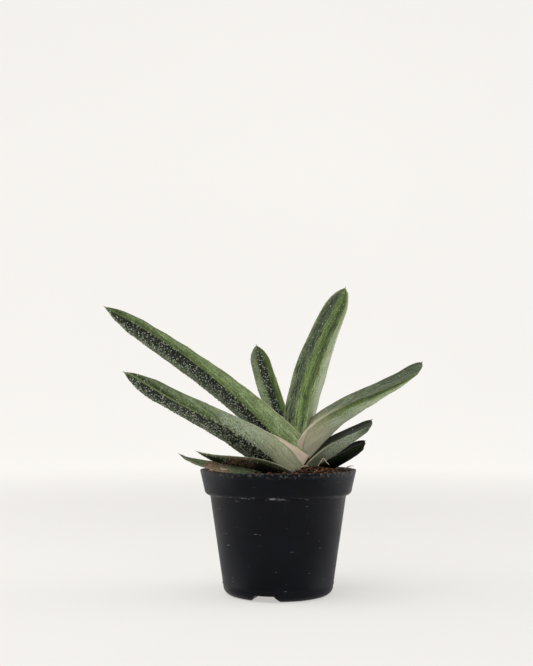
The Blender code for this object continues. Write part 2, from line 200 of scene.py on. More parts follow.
# The three sides of a leaf, each as stops of (place across it, tone, lushness, tubercles, mottling), where
# tone runs from 0, nearly black, to 1, pale. The inner face is read from the left margin to the right one,
# the right side from the right margin to the keel, and the left side from the keel to the left margin.
# ends: how much lighter the root and the tip are. tip: tone of the tip, and where along the leaf it starts.
# bleach: how far up the base is bleached, and how much. flange: which margin, -1 or 1, is broad and pink
# at the base, how wide in millimetres and how far up. line: how strong the cream margin is at the root and
# at the tip. dashes: dark dashes on the inner face. frost and withered: from, to and how much, and frost's
# side. ridge: how strong the light line along the keel is.
PLAIN = ((0, 0.4, 0.3, 0.35, 0.3), (1, 0.4, 0.3, 0.35, 0.3))
FINISHES = {
    "leaf_tall": Finish(
        # The inner face's darker band, from 0.2 to 0.34 across, is partly dark streaks and partly painted
        # shade in the left half of its channel
        inner=(
            (0, 0.5, 0.4, 0.05, 0.1), (0.1, 0.42, 0.3, 0.1, 0.3), (0.2, 0.3, 0.1, 0.15, 0.5),
            (0.34, 0.34, 0.2, 0.1, 0.5), (0.41, 0.48, 0.8, 0.06, 0.1), (0.6, 0.48, 1, 0.06, 0.2),
            (0.78, 0.24, 1, 0.05, 0.3), (0.92, 0.38, 0.9, 0.08, 0.1), (1, 0.55, 0.6, 0.1, 0),
        ),
        right=((0, 0.62, 0.4, 0.2, 0), (0.3, 0.76, 0.1, 0.2, 0), (1, 0.8, 0, 0.1, 0)),
        left=PLAIN, ends=(0.55, -0.05), tip=(0.38, 0.9), bleach=(0.14, 0.35), line=(0, 0.6), dashes=0.85,
    ),
    "leaf_back": Finish(
        inner=(
            (0, 0.68, 0.3, 0.5, 0.1), (0.34, 0.62, 0.4, 0.8, 0.4), (0.42, 0.08, 0, 0.7, 0.5),
            (0.7, 0.08, 0, 0.7, 0.5), (0.78, 0.36, 1, 0.2, 0.3), (0.92, 0.45, 1, 0.05, 0),
            (1, 0.55, 0.5, 0, 0),
        ),
        right=PLAIN, left=PLAIN, ends=(0.1, -0.1), tip=(0.42, 0.8), line=(0.2, 0.3),
    ),
    "leaf_right": Finish(
        inner=(
            (0, 0.44, 0.2, 0.1, 0.2), (0.3, 0.52, 0, 0.1, 0.3), (0.7, 0.5, 0.1, 0.1, 0.3),
            (1, 0.44, 0.4, 0.05, 0.1),
        ),
        # The right side is the leaf's lower face; its tones rising to 1 near the keel, and the strong
        # bleach, are partly pale skin and partly painted light from below and in front
        right=(
            (0, 0.38, 0.9, 0.05, 0.3), (0.2, 0.5, 0.8, 0.05, 0.2), (0.4, 0.84, 0.35, 0.1, 0),
            (0.8, 1, 0.15, 0.1, 0), (1, 0.95, 0.15, 0.1, 0),
        ),
        left=PLAIN, ends=(0.3, -0.25), tip=(0.36, 0.78), bleach=(0.46, 0.92), flange=(1, 7.5, 0.26),
        line=(1, 0.1), dashes=0.7,
    ),
    "leaf_upper_left": Finish(
        inner=PLAIN,
        # The right side, the lower one, darkens to near black: partly its own dark green, partly painted
        # shade, as it faces down
        right=(
            (0, 0.52, 0.4, 0.95, 0.3), (0.28, 0.36, 0.2, 1, 0.5), (0.5, 0.1, 0, 0.9, 0.5),
            (0.65, 0.03, 0, 0.7, 0.3), (1, 0.02, 0, 0.55, 0.3),
        ),
        left=(
            (0, 0.46, 0.8, 0.15, 0.3), (0.15, 0.52, 0.7, 0.12, 0.1), (0.6, 0.54, 0.5, 0.15, 0),
            (1, 0.5, 0.5, 0.15, 0),
        ),
        ends=(0.36, -0.2), tip=(0.38, 0.9), bleach=(0.1, 0.1), line=(1, 0.1), ridge=0.3,
    ),
    "leaf_lower_left": Finish(
        inner=PLAIN,
        # The right side, the lower one, darkens to near black: partly its own dark green, partly painted
        # shade, as it faces down
        right=(
            (0, 0.4, 0.3, 0.95, 0.3), (0.3, 0.24, 0.2, 0.95, 0.5), (0.6, 0.05, 0, 0.8, 0.5),
            (1, 0.04, 0.3, 0.6, 0.5),
        ),
        left=(
            (0, 0.34, 0.8, 0.3, 0.5), (0.2, 0.48, 0.6, 0.2, 0.3), (0.6, 0.56, 0.2, 0.2, 0.1),
            (1, 0.52, 0.3, 0.2, 0),
        ),
        ends=(0.24, -0.34), tip=(0.32, 0.85), bleach=(0.34, 0.42), flange=(-1, 8.5, 0.26), line=(1, 0.1),
        frost=(0.14, 0.5, 0.8, 2), ridge=0.9,
    ),
    "leaf_short_right": Finish(
        inner=((0, 0.02, 0, 0.03, 0), (1, 0.04, 0, 0.03, 0)),
        right=((0, 0.54, 0.1, 0.15, 0.1), (0.5, 0.54, 0, 0.15, 0.3), (1, 0.48, 0.2, 0.1, 0.2)),
        left=PLAIN, ends=(0.15, -0.2), tip=(0.14, 0.72), line=(1, 0.05), frost=(0.1, 0.85, 1, 1),
    ),
    # leaf_low_right lies in the shadow of leaf_short_right: its black skin and dark tip are painted shade
    "leaf_low_right": Finish(
        inner=((0, 0, 0, 0, 0), (1, 0, 0, 0, 0)),
        right=((0, 0.06, 0.6, 0, 0), (0.4, 0, 0, 0, 0), (1, 0, 0, 0, 0)),
        left=((0, 0, 0, 0, 0), (1, 0, 0, 0, 0)), tip=(0.05, 0.9), line=(0, 0),
    ),
    "leaf_front_left": Finish(
        inner=(
            (0, 0.66, 0, 0.5, 0.3), (0.3, 0.42, 0.2, 0.4, 0.5), (0.7, 0.42, 0.3, 0.4, 0.4),
            (1, 0.5, 0.1, 0.4, 0.3),
        ),
        # Its left side is its underside, dark with painted shade, darkest at the root
        right=PLAIN, left=((0, 0.04, 0.1, 0.1, 0.3), (0.6, 0.12, 0.2, 0.2, 0.4), (1, 0.4, 0.2, 0.4, 0.3)),
        ends=(0.5, 0.2), line=(0.5, 0.5), withered=(0.3, 0.72, 0.75),
    ),
    "leaf_lowest_left": Finish(
        inner=((0, 0.4, 0.2, 0.1, 0.3), (0.5, 0.42, 0.25, 0.1, 0.3), (1, 0.46, 0.1, 0.1, 0.2)),
        right=PLAIN, left=((0, 0.3, 0.3, 0.1, 0.2), (1, 0.5, 0.4, 0.1, 0.2)), line=(0.4, 0.3),
        withered=(0.34, 0.68, 0.9),
    ),
}

# Colours of the skin at tones 0, 1/4, 1/2, 3/4 and 1, greyish and lush
GREY_GREENS = (
    (0.004, 0.006, 0.003), (0.036, 0.046, 0.027), (0.135, 0.163, 0.098),
    (0.27, 0.32, 0.195), (0.45, 0.5, 0.37),
)
LUSH_GREENS = (
    (0.004, 0.007, 0.002), (0.034, 0.055, 0.013), (0.118, 0.175, 0.042),
    (0.22, 0.32, 0.09), (0.36, 0.46, 0.2),
)
DEEP_GREEN = (0.008, 0.012, 0.006)
MARGIN_GREEN = (0.16, 0.2, 0.06)
DEAD_BROWNS = ((0.03, 0.012, 0.008), (0.22, 0.12, 0.08), (0.42, 0.28, 0.22))
# The leaf whose black skin is painted shade; it gets a copy of the leaf finish with a tenth of the shine
LEAF_IN_PAINTED_SHADE = "leaf_low_right"


def unit(vectors):
    """Vectors of length one along the last axis."""
    return vectors / np.linalg.norm(vectors, axis=-1, keepdims=True)


def through_four(values, u):
    """The cubic that has these values at u = 0, 1/3, 2/3 and 1."""
    total = 0
    for i, value in enumerate(values):
        weight = 1
        for j in range(4):
            if j != i:
                weight = weight * (3 * u - j) / (i - j)
        total = total + value * weight
    return total


def along_curve(points, u):
    """Places on the curve through four points, one for each u."""
    return np.stack([through_four(axis, u) for axis in zip(*points)], axis=-1)


def smooth_step(low, high, value):
    """Rises softly from 0 at low to 1 at high, and at once where the two are the same."""
    share = np.clip((value - low) / max(high - low, TINY), 0, 1)
    return share * share * (3 - 2 * share)


def ripples(random, x, y, wavelength, count=7):
    """Soft noise of about plus or minus one: waves of random direction and phase."""
    total = np.zeros(np.broadcast(x, y).shape)
    for _ in range(count):
        turn, phase = random.uniform(0, 2 * math.pi, 2)
        pitch = 2 * math.pi / wavelength * random.uniform(0.6, 1.6)
        total = total + np.sin(pitch * (x * math.cos(turn) + y * math.sin(turn)) + phase)
    return total / math.sqrt(count)


def make_mesh(name, points, faces):
    mesh = bpy.data.meshes.new(name)
    mesh.from_pydata(np.asarray(points).reshape(-1, 3).tolist(), [], faces)
    mesh.update()
    return mesh


def add_piece(name, mesh, material, slot, *replaced):
    """Puts a finished mesh into the scene as a piece that stands with the pot."""
    piece = bpy.data.objects.new(name, mesh)
    bpy.context.scene.collection.objects.link(piece)
    mesh.materials.append(material)
    mesh.shade_smooth()
    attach(piece, "root")
    if replaced:
        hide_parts(*replaced)
    return piece


def store(mesh, name, values):
    """Keeps one number or one vector for each point of a mesh."""
    values = np.asarray(values, dtype=np.float32)
    if values.ndim == 1:
        mesh.attributes.new(name, "FLOAT", "POINT").data.foreach_set("value", values)
    else:
        mesh.attributes.new(name, "FLOAT_VECTOR", "POINT").data.foreach_set("vector", values.ravel())


class Nodes:
    """A short way to write a material's node tree."""

    def __init__(self, name, **shader):
        self.material = bpy.data.materials.new(name)
        self.material.use_nodes = True
        self.tree = self.material.node_tree
        self.shader = self.tree.nodes["Principled BSDF"]
        for key, value in shader.items():
            self.shader.inputs[key.replace("_", " ")].default_value = value

    def add(self, kind, settings=None, **inputs):
        """A node, with its settings and its inputs: by name, or as _0, _1 by place."""
        node = self.tree.nodes.new("ShaderNode" + kind)
        for key, value in (settings or {}).items():
            setattr(node, key, value)
        for key, value in inputs.items():
            which = int(key[1:]) if key[1:].isdigit() else key.replace("_", " ")
            self.plug(node.inputs[which], value)
        return node

    def plug(self, socket, value):
        if isinstance(value, bpy.types.NodeSocket):
            self.tree.links.new(value, socket)
        else:
            socket.default_value = value

    def place(self):
        return self.add("TexCoord").outputs["Object"]

    def parts(self, vector):
        return self.add("SeparateXYZ", None, Vector=vector).outputs

    def sum(self, a, b):
        return self.add("Math", {"operation": "ADD"}, _0=a, _1=b).outputs[0]

    def times(self, a, b):
        return self.add("Math", {"operation": "MULTIPLY"}, _0=a, _1=b).outputs[0]

    def away(self, a, b):
        """How far a is from b."""
        difference = self.add("Math", {"operation": "SUBTRACT"}, _0=a, _1=b).outputs[0]
        return self.add("Math", {"operation": "ABSOLUTE"}, _0=difference).outputs[0]

    def mix(self, share, a, b):
        a, b = (c if isinstance(c, bpy.types.NodeSocket) else (*c, 1) for c in (a, b))
        node = self.add("Mix", {"data_type": "RGBA", "clamp_factor": True}, _0=share, _6=a, _7=b)
        return node.outputs[2]

    def spread(self, value, low, high, to_low=0.0, to_high=1.0):
        """Maps low..high to to_low..to_high, softly and clamped."""
        inputs = dict(_0=value, _1=low, _2=high, _3=to_low, _4=to_high)
        return self.add("MapRange", {"interpolation_type": "SMOOTHSTEP"}, **inputs).outputs[0]

    def ramp(self, value, colours, low=0.0, high=1.0):
        """Colours at even steps from low to high."""
        node = self.add("ValToRGB", None, _0=value)
        elements = node.color_ramp.elements
        while len(elements) < len(colours):
            elements.new(0.5)
        for i, (element, colour) in enumerate(zip(elements, colours)):
            element.position = low + (high - low) * i / (len(colours) - 1)
            element.color = (*colour, 1)
        return node.outputs[0]

    def noise(self, vector, scale, detail=3.0, roughness=0.55):
        inputs = dict(Vector=vector, Scale=scale, Detail=detail, Roughness=roughness)
        return self.add("TexNoise", None, **inputs).outputs[0]

    def stretched(self, vector, factors):
        return self.add("VectorMath", {"operation": "MULTIPLY"}, _0=vector, _1=factors).outputs[0]

    def held(self, name, output="Fac"):
        """A value that the mesh keeps for each point."""
        return self.add("Attribute", {"attribute_name": name}).outputs[output]

    def bump(self, height, strength, distance):
        return self.add("Bump", None, Height=height, Strength=strength, Distance=distance).outputs[0]

    def finish(self, colour, roughness, normal):
        self.plug(self.shader.inputs["Base Color"], colour)
        self.plug(self.shader.inputs["Roughness"], roughness)
        self.plug(self.shader.inputs["Normal"], normal)
        return self.material


def leaf_section(width, depth, keel, hollow):
    """Rounded triangles, one for each station, as points across and outwards.

    Also gives each point's side, 0 for the inner face, 1 for the right side and 2 for the left one, and how
    far along that side it lies, from 0 to 1.
    """
    zero = np.zeros_like(width)
    corners = [
        np.stack([-width / 2, zero], -1),
        np.stack([width / 2, zero], -1),
        np.stack([keel * width / 2, -depth], -1),
    ]
    rounds = [np.minimum(size, width / 4)[:, None] for size in (MARGIN_ROUND, MARGIN_ROUND, KEEL_ROUND)]
    bulge = np.minimum(SIDE_BULGE, width / 12)
    bulges = [-np.minimum(hollow, width / 12), bulge, bulge]
    points, sides, shares = [], [], []
    for i, corner in enumerate(corners):
        before, after = corners[i - 1], corners[(i + 1) % 3]
        start = corner + unit(before - corner) * rounds[i]
        end = corner + unit(after - corner) * rounds[i]
        for step in range(CORNER_STEPS):
            t = step / CORNER_STEPS
            points.append(start * (1 - t) ** 2 + corner * 2 * t * (1 - t) + end * t * t)
            sides.append((i - 1) % 3 if t < 0.5 else i)
            shares.append(1.0 if t < 0.5 else 0.0)
        far = after + unit(corner - after) * rounds[(i + 1) % 3]
        run = unit(far - end)
        outwards = np.stack([-run[:, 1], run[:, 0]], -1)
        for step in range(SIDE_STEPS):
            t = step / SIDE_STEPS
            points.append(end + (far - end) * t + outwards * (4 * t * (1 - t) * bulges[i])[:, None])
            sides.append(i)
            shares.append(t)
    return np.stack(points, 1), np.array(sides), np.array(shares)


class LeafSkin:
    """The grid of points of one leaf's skin, and its finish at each of them.

    Rows run along the leaf from its root, and columns run round it from its left margin.
    """

    def __init__(self, name, stations, seed):
        self.name = name
        self.shape, self.look = SHAPES[name], FINISHES[name]
        self.random = np.random.default_rng(seed)
        shape = self.shape
        u = 1 - (1 - np.arange(stations) / stations) ** RING_CROWDING
        knots = np.linspace(0, 1, 101)
        steps = np.linalg.norm(np.diff(along_curve(shape.curve, knots), axis=0), axis=1)
        self.u, self.length = u, steps.sum()
        self.along = np.interp(u, knots, np.concatenate([[0], np.cumsum(steps)]))
        tangent = unit(along_curve(shape.curve, u + 0.01) - along_curve(shape.curve, u - 0.01))
        face = np.outer(1 - u, shape.face_root) + np.outer(u, shape.face_tip)
        face = unit(face - tangent * (face * tangent).sum(-1, keepdims=True))
        across = np.cross(tangent, face)
        taper = self.taper()
        waver = 1 + WAVER * ripples(self.random, self.along, 0 * u, 24)
        section, self.sides, self.shares = leaf_section(
            through_four(shape.widths, u) * taper * waver,
            through_four(shape.depths, u) * taper,
            through_four(shape.keels, u),
            shape.channel * taper,
        )
        centre = along_curve(shape.curve, u)
        self.smooth = centre[:, None] + across[:, None] * section[..., :1] + face[:, None] * section[..., 1:]
        gaps = np.linalg.norm(np.diff(section, axis=1, append=section[:, :1]), axis=-1)
        self.around = np.concatenate([np.zeros((stations, 1)), np.cumsum(gaps, 1)[:, :-1]], 1)
        self.girth = gaps.sum(1)
        self.out = self.normals()
        self.points = self.smooth + self.out * self.relief()[..., None]

    def taper(self):
        """How the leaf narrows over its tip, which ends in a little nib."""
        shape = self.shape
        body_end = 1 - NIB_LENGTH / self.length
        cap_start = 1 - shape.tip_length / self.length
        cap = np.clip((self.u - cap_start) / (body_end - cap_start), 0, 1)
        body = (1 - cap * cap) ** shape.point
        left_over = np.clip((1 - self.u) / (1 - body_end), 0, 1)
        nib = 2 * NIB_RADIUS / shape.widths[3] * left_over**0.6
        return np.maximum(body, np.where(self.u > cap_start, nib, 0))

    def normals(self):
        down = np.gradient(self.smooth, axis=0)
        round_it = np.roll(self.smooth, -1, 1) - np.roll(self.smooth, 1, 1)
        return unit(np.cross(round_it, down) + 1e-12)

    def relief(self):
        """Low swells and shallow lengthwise furrows, in millimetres, fading out towards the tip."""
        swell = SWELL_HEIGHT * ripples(self.random, self.around, self.along[:, None] * 0.4, 8)
        furrow = FURROW_HEIGHT * ripples(self.random, self.around * 2.6, self.along[:, None] * 0.12, 5)
        return (swell + furrow) * smooth_step(0, 0.06, 1 - self.u)[:, None]

    def across_sides(self, which):
        """One of the stops' values at every column: 1 tone, 2 lushness, 3 tubercles, 4 mottling."""
        look, values = self.look, []
        for stops in (look.inner, look.right, look.left):
            stops = np.array(stops)
            values.append(np.interp(self.shares, stops[:, 0], stops[:, which]))
        return np.choose(self.sides, values)

    def from_column(self, column):
        """Distance round the section from a column, in millimetres."""
        way = np.abs(self.around - self.around[:, column : column + 1])
        return np.minimum(way, self.girth[:, None] - way)

    def between(self, start, end):
        """1 in the middle of a stretch of the leaf, with soft ends."""
        soft = 0.3 * (end - start) + 1e-6
        return smooth_step(start, start + soft, self.u) * (1 - smooth_step(end - soft, end, self.u))

    def values(self):
        """What the finish needs to know at every point of the grid."""
        look, u = self.look, self.u[:, None]
        near_tip = smooth_step(look.tip[1], 1, u)
        tone = self.across_sides(1) * (1 + look.ends[0] * (1 - u) ** 2 + look.ends[1] * u * u)
        left, right = self.from_column(LEFT_MARGIN), self.from_column(RIGHT_MARGIN)
        side, flange_width, flange_reach = look.flange
        shrink = np.clip(1 - u / max(flange_reach, 0.01), 0, 1) ** 1.9
        inwards = (right if side > 0 else left) / (flange_width * shrink + 0.01)
        pink = smooth_step(0, 0.3, shrink) * (1 - smooth_step(0.55, 1.3, inwards))
        reach, most = look.bleach
        on_light = smooth_step(0.08, 0.4, self.across_sides(1))
        values = {
            "tone": tone * (1 - near_tip) + look.tip[0] * near_tip,
            "lush": self.across_sides(2),
            "mottle": self.across_sides(4) * (1 - near_tip),
            "edge": np.minimum(left, right),
            "keel": self.from_column(KEEL),
            "ridge": look.ridge * smooth_step(0.35, 0.7, u),
            "spots": self.across_sides(3) * (1 - 0.5 * near_tip),
            "line": look.line[0] * (1 - smooth_step(0.1, 0.55, u)) + look.line[1] * u,
            "dash": look.dashes * (self.sides == 0) * (1 - smooth_step(0.7, 0.95, u)),
            "flange": pink * (side != 0),
            "bleach": most * (1 - smooth_step(reach * 0.1, reach, u)) * on_light,
            "frost": look.frost[2] * self.between(*look.frost[:2])[:, None] * (self.sides == look.frost[3]),
            "wither": look.withered[2] * self.between(*look.withered[:2])[:, None],
        }
        return {key: np.broadcast_to(value, self.around.shape) for key, value in values.items()}

    def build(self):
        """The closed skin as a mesh, with its values for the finish."""
        rows, columns = self.around.shape
        tip = np.array(self.shape.curve[3], dtype=float)
        faces = []
        for i in range(rows - 1):
            near, far = i * columns, (i + 1) * columns
            for j in range(columns):
                k = (j + 1) % columns
                faces.append((near + j, far + j, far + k, near + k))
        last, root_at, tip_at = (rows - 1) * columns, rows * columns, rows * columns + 1
        for j in range(columns):
            k = (j + 1) % columns
            faces.append((k, root_at, j))
            faces.append((last + j, tip_at, last + k))
        points = np.concatenate([self.points.reshape(-1, 3), [self.points[0].mean(0), tip]])
        mesh = make_mesh(self.name + "_skin", points * MM, faces)
        for key, grid in self.values().items():
            store(mesh, key, np.append(grid.ravel(), [grid[0].mean(), grid[-1].mean()]))
        seed = self.random.uniform(0, 100)
        flat = np.stack(np.broadcast_arrays(self.around, self.along[:, None], seed), -1).reshape(-1, 3)
        store(mesh, "place", np.concatenate([flat, [[0, 0, seed], [0, self.length, seed]]]))
        return mesh

    def tubercles(self, spacing, size):
        """Low pale domes in broken bands, as thick on each part of the skin as its finish says."""
        rows, columns = self.around.shape
        wide, long = int(self.girth.max() / spacing), int(self.length / spacing)
        x, y = np.meshgrid(np.arange(wide) + 0.5, np.arange(long) + 0.5)
        x = (x + self.random.uniform(-0.36, 0.36, x.shape)) / wide
        y = np.minimum((y + self.random.uniform(-0.36, 0.36, y.shape)) * spacing, self.along[-1])
        row = np.interp(y, self.along, np.arange(rows))
        shares = np.append((self.around / self.girth[:, None]).mean(0), 1)
        column = np.interp(x, shares, np.arange(columns + 1))

        def sample(grid):
            i, j = np.minimum(row.astype(int), rows - 2), column.astype(int) % columns
            down, over = (row - i)[..., None], (column - column.astype(int))[..., None]
            k = (j + 1) % columns
            return (grid[i, j] * (1 - over) + grid[i, k] * over) * (1 - down) + (
                grid[i + 1, j] * (1 - over) + grid[i + 1, k] * over
            ) * down

        girth = np.interp(y, self.along, self.girth)
        spots = self.across_sides(3)[column.astype(int) % columns]
        bands = ripples(self.random, x * girth * 0.5, y, 6)
        keep = spots * (0.55 + 0.45 * smooth_step(-0.9, 0.7, bands)) * girth / self.girth.max()
        values = self.values()
        flange = sample(values["flange"][..., None])[..., 0]
        keep = keep * smooth_step(0, 0.1, y / self.length) * (1 - flange)
        chosen = self.random.uniform(0, 1, x.shape) < keep
        grown = self.random.uniform(0.55, 1.15, x.shape) * (0.75 + 0.25 * spots)
        tone = sample(values["tone"][..., None])[..., 0]
        places, outs = sample(self.points)[chosen], unit(sample(self.out)[chosen])
        return self.domes(places, outs, grown[chosen] * size / 2, tone[chosen])

    def domes(self, places, outs, radii, tones):
        """Low domes on the skin, each with a ring sunk in it, a shoulder and a top."""
        spokes = DOME_SPOKES
        turns = np.arange(spokes) * 2 * math.pi / spokes
        side = unit(np.cross(outs, np.array([0.37, 0.61, 0.7])))
        other = np.cross(outs, side)
        ring = side[:, None] * np.cos(turns)[:, None] + other[:, None] * np.sin(turns)[:, None]
        low = places[:, None] + ring * radii[:, None, None] - outs[:, None] * DOME_SUNK
        shoulder = ring * SHOULDER_REACH + outs[:, None] * SHOULDER_HEIGHT
        middle = places[:, None] + shoulder * radii[:, None, None]
        top = places[:, None] + outs[:, None] * (radii * DOME_HEIGHT)[:, None, None]
        points = np.concatenate([low, middle, top], 1)
        faces = []
        for dome in range(len(points)):
            base = dome * (2 * spokes + 1)
            for j in range(spokes):
                k = (j + 1) % spokes
                faces.append((base + j, base + k, base + spokes + k, base + spokes + j))
                faces.append((base + spokes + j, base + spokes + k, base + 2 * spokes))
        mesh = make_mesh(self.name + "_tubercles", points * MM, faces)
        store(mesh, "shade", np.repeat(self.random.uniform(0, 1, len(points)), 2 * spokes + 1))
        store(mesh, "ground", np.repeat(tones, 2 * spokes + 1))
        return mesh


def leaf_material(name, settings, shine):
    """Thick green skin: tone and lushness from the mesh, mottling, dashes, pale bases and cream margins."""
    n = Nodes(name, Specular_IOR_Level=shine, Subsurface_Weight=0.05, Subsurface_Scale=1.2 * MM)
    place, edge = n.held("place", "Vector"), n.held("edge")
    fibres = n.noise(n.stretched(place, (1.7, 0.07, 1)), 1.0, 4.0, 0.65)
    clouds = n.noise(n.stretched(place, (0.22, 0.1, 1)), 1.0, 3.0, 0.5)
    grain = n.noise(place, 1.0, 4.0, 0.75)
    streaked = n.times(n.held("tone"), n.spread(fibres, 0.32, 0.68, 0.76, 1.24))
    clouded = n.times(streaked, n.spread(clouds, 0.3, 0.7, 0.88, 1.12))
    tone = n.times(clouded, n.spread(grain, 0.38, 0.62, 0.78, 1.24))
    skin = n.mix(n.held("lush"), n.ramp(tone, GREY_GREENS), n.ramp(tone, LUSH_GREENS))
    network = n.spread(n.noise(n.stretched(place, (0.8, 0.5, 1)), 1.0, 2.0, 0.6), 0.5, 0.6)
    green = n.mix(n.times(n.times(network, n.held("spots")), 0.55), skin, settings.network_colour)
    blotches = n.spread(n.noise(n.stretched(place, (0.75, 0.55, 1)), 1.0, 2.0, 0.7), 0.46, 0.58)
    mottled = n.mix(n.times(blotches, n.held("mottle")), green, DEEP_GREEN)
    dashes = n.spread(n.noise(n.stretched(place, (1.0, 0.11, 1)), 1.0, 2.0, 0.6), 0.52, 0.64)
    dashed = n.mix(n.times(dashes, n.held("dash")), mottled, DEEP_GREEN)
    soft_bleach = n.times(n.held("bleach"), n.spread(fibres, 0.25, 0.7, 0.75, 1.15))
    bleached = n.mix(soft_bleach, dashed, settings.base_colour)
    rind = n.sum(n.held("flange"), n.times(n.held("flange"), n.spread(fibres, 0.3, 0.7, -0.3, 0.3)))
    green_line = n.times(n.spread(rind, 0.02, 0.3), n.spread(rind, 0.35, 0.65, 1.0, 0.0))
    outlined = n.mix(n.times(green_line, 0.55), bleached, MARGIN_GREEN)
    flanged = n.mix(n.spread(rind, 0.3, 0.8, 0.0, 0.95), outlined, settings.flange_colour)
    line = n.times(n.held("line"), n.spread(edge, 0.3, 1.0, 0.85, 0.0))
    keel_line = n.times(n.held("ridge"), n.spread(n.held("keel"), 0.25, 0.8, 0.8, 0.0))
    ridged = n.mix(keel_line, flanged, settings.ridge_colour)
    edged = n.mix(line, ridged, settings.margin_colour)
    bloom = n.spread(n.noise(place, 0.75, 4.0, 0.85), 0.44, 0.58)
    frosted = n.mix(n.times(bloom, n.held("frost")), edged, settings.speckle_colour)
    decay = n.spread(n.noise(place, 0.5, 4.0, 0.7), 0.4, 0.56)
    dead = n.ramp(grain, DEAD_BROWNS, 0.3, 0.7)
    withered = n.mix(n.times(decay, n.held("wither")), frosted, dead)
    height = n.sum(n.times(grain, 0.6), n.times(fibres, 0.8))
    roughness = n.spread(grain, 0.3, 0.7, settings.roughness - 0.06, settings.roughness + 0.08)
    return n.finish(withered, roughness, n.bump(height, 0.4, 0.22 * MM))


def tubercle_material(settings):
    """Whitish over dark skin and close to the skin's own green over light skin."""
    n = Nodes("tubercle_finish", Specular_IOR_Level=settings.shine)
    spot = n.noise(n.place(), 900.0, 2.0)
    shade = n.sum(n.held("shade"), n.spread(spot, 0.3, 0.7, -0.15, 0.15))
    light = settings.speckle_colour
    pale = n.ramp(shade, [tuple(c * k for c in light) for k in (0.4, 0.85, 1.25)])
    own = n.ramp(n.sum(n.held("ground"), 0.12), GREY_GREENS)
    colour = n.mix(n.spread(n.held("ground"), 0.3, 0.55, 0.0, 0.8), pale, own)
    return n.finish(colour, n.spread(spot, 0.3, 0.7, 0.5, 0.7), n.bump(spot, 0.2, 0.05 * MM))


def arc(centre_r, centre_z, radius, start, end, steps):
    """Points of a circular arc in the (r, z) plane; angles in degrees."""
    angles = [math.radians(start + (end - start) * i / steps) for i in range(steps + 1)]
    return [(centre_r + radius * math.cos(a), centre_z + radius * math.sin(a)) for a in angles]


def turned(bm, profile, sides):
    """Spins a closed (r, z) profile, whose first and last points lie on the axis, about Z."""
    rings = []
    for radius, height in profile:
        if radius == 0:
            rings.append([bm.verts.new((0, 0, height))])
            continue
        turns = [2 * math.pi * i / sides for i in range(sides)]
        rings.append([bm.verts.new((radius * math.cos(t), radius * math.sin(t), height)) for t in turns])
    for low, high in zip(rings, rings[1:]):
        for i in range(sides):
            j = (i + 1) % sides
            corners = [low[i % len(low)], low[j % len(low)], high[j % len(high)], high[i % len(high)]]
            bm.faces.new(list(dict.fromkeys(corners)))


def body_radius(height):
    """The outside radius of the pot's body."""
    widening = BODY_TOP_RADIUS - BODY_FOOT_RADIUS
    return BODY_FOOT_RADIUS + widening * (height - FOOT_CORNER) / (COLLAR_FOOT - FOOT_CORNER)


def outside_profile(steps):
    """The pot filled solid: up the outside, with a faint ring near the foot, and over the lip."""
    foot = arc(BODY_FOOT_RADIUS - FOOT_CORNER, FOOT_CORNER, FOOT_CORNER, -90, 0, steps)
    ring = [
        (body_radius(FOOT_RING_HEIGHT + side * 0.7 * MM) + reach, FOOT_RING_HEIGHT + side * 0.7 * MM)
        for side, reach in ((-1, 0), (-0.4, FOOT_RING_REACH), (0.4, FOOT_RING_REACH), (1, 0))
    ]
    under = [(BODY_TOP_RADIUS, COLLAR_FOOT - 0.6 * MM), (BODY_TOP_RADIUS + 0.5 * MM, COLLAR_FOOT)]
    collar_r, collar_z = COLLAR_FOOT_RADIUS - COLLAR_CORNER, COLLAR_FOOT + COLLAR_CORNER
    collar = arc(collar_r, collar_z, COLLAR_CORNER, -70, 0, steps)
    lip = arc(RIM_RADIUS - WALL / 2, POT_HEIGHT - WALL / 2, WALL / 2, 0, 180, steps)
    return [(0, 0), *foot, *ring, *under, *collar, *lip, (0, POT_HEIGHT - WALL / 2)]


def inside_profile(gap, steps):
    """The pot's hollow, a gap away from its wall, up to the collar's corner."""
    inset = WALL + gap
    foot = arc(BODY_FOOT_RADIUS - FOOT_CORNER, FOOT_CORNER, FOOT_CORNER - inset, -90, 0, steps)
    step = [
        (BODY_TOP_RADIUS - inset, COLLAR_FOOT + inset),
        (COLLAR_FOOT_RADIUS - inset, COLLAR_FOOT + COLLAR_CORNER + gap),
    ]
    return [(0, inset), *foot, *step]


def inner_radius(height, gap):
    """The inside radius of the collar."""
    foot, lip = COLLAR_FOOT + COLLAR_CORNER, POT_HEIGHT - WALL / 2
    widening = (RIM_RADIUS - COLLAR_FOOT_RADIUS) * (height - foot) / (lip - foot)
    return COLLAR_FOOT_RADIUS + widening - WALL - gap


def solid(name, build):
    """An object for a cut, filled by build(bm)."""
    bm = bmesh.new()
    build(bm)
    bmesh.ops.recalc_face_normals(bm, faces=bm.faces)
    mesh = bpy.data.meshes.new(name)
    bm.to_mesh(mesh)
    bm.free()
    thing = bpy.data.objects.new(name, mesh)
    bpy.context.scene.collection.objects.link(thing)
    return thing


def cut_from(thing, cutters):
    """Cuts solids out of a thing, one after the other, and clears them away."""
    for cutter in cutters:
        cut = thing.modifiers.new("cut", "BOOLEAN")
        cut.operation = "DIFFERENCE"
        cut.object = cutter
        cut.solver = "EXACT"
    mesh = bpy.data.meshes.new_from_object(thing.evaluated_get(bpy.context.evaluated_depsgraph_get()))
    thing.modifiers.clear()
    thing.data = mesh
    for cutter in cutters:
        bpy.data.objects.remove(cutter)
    return thing


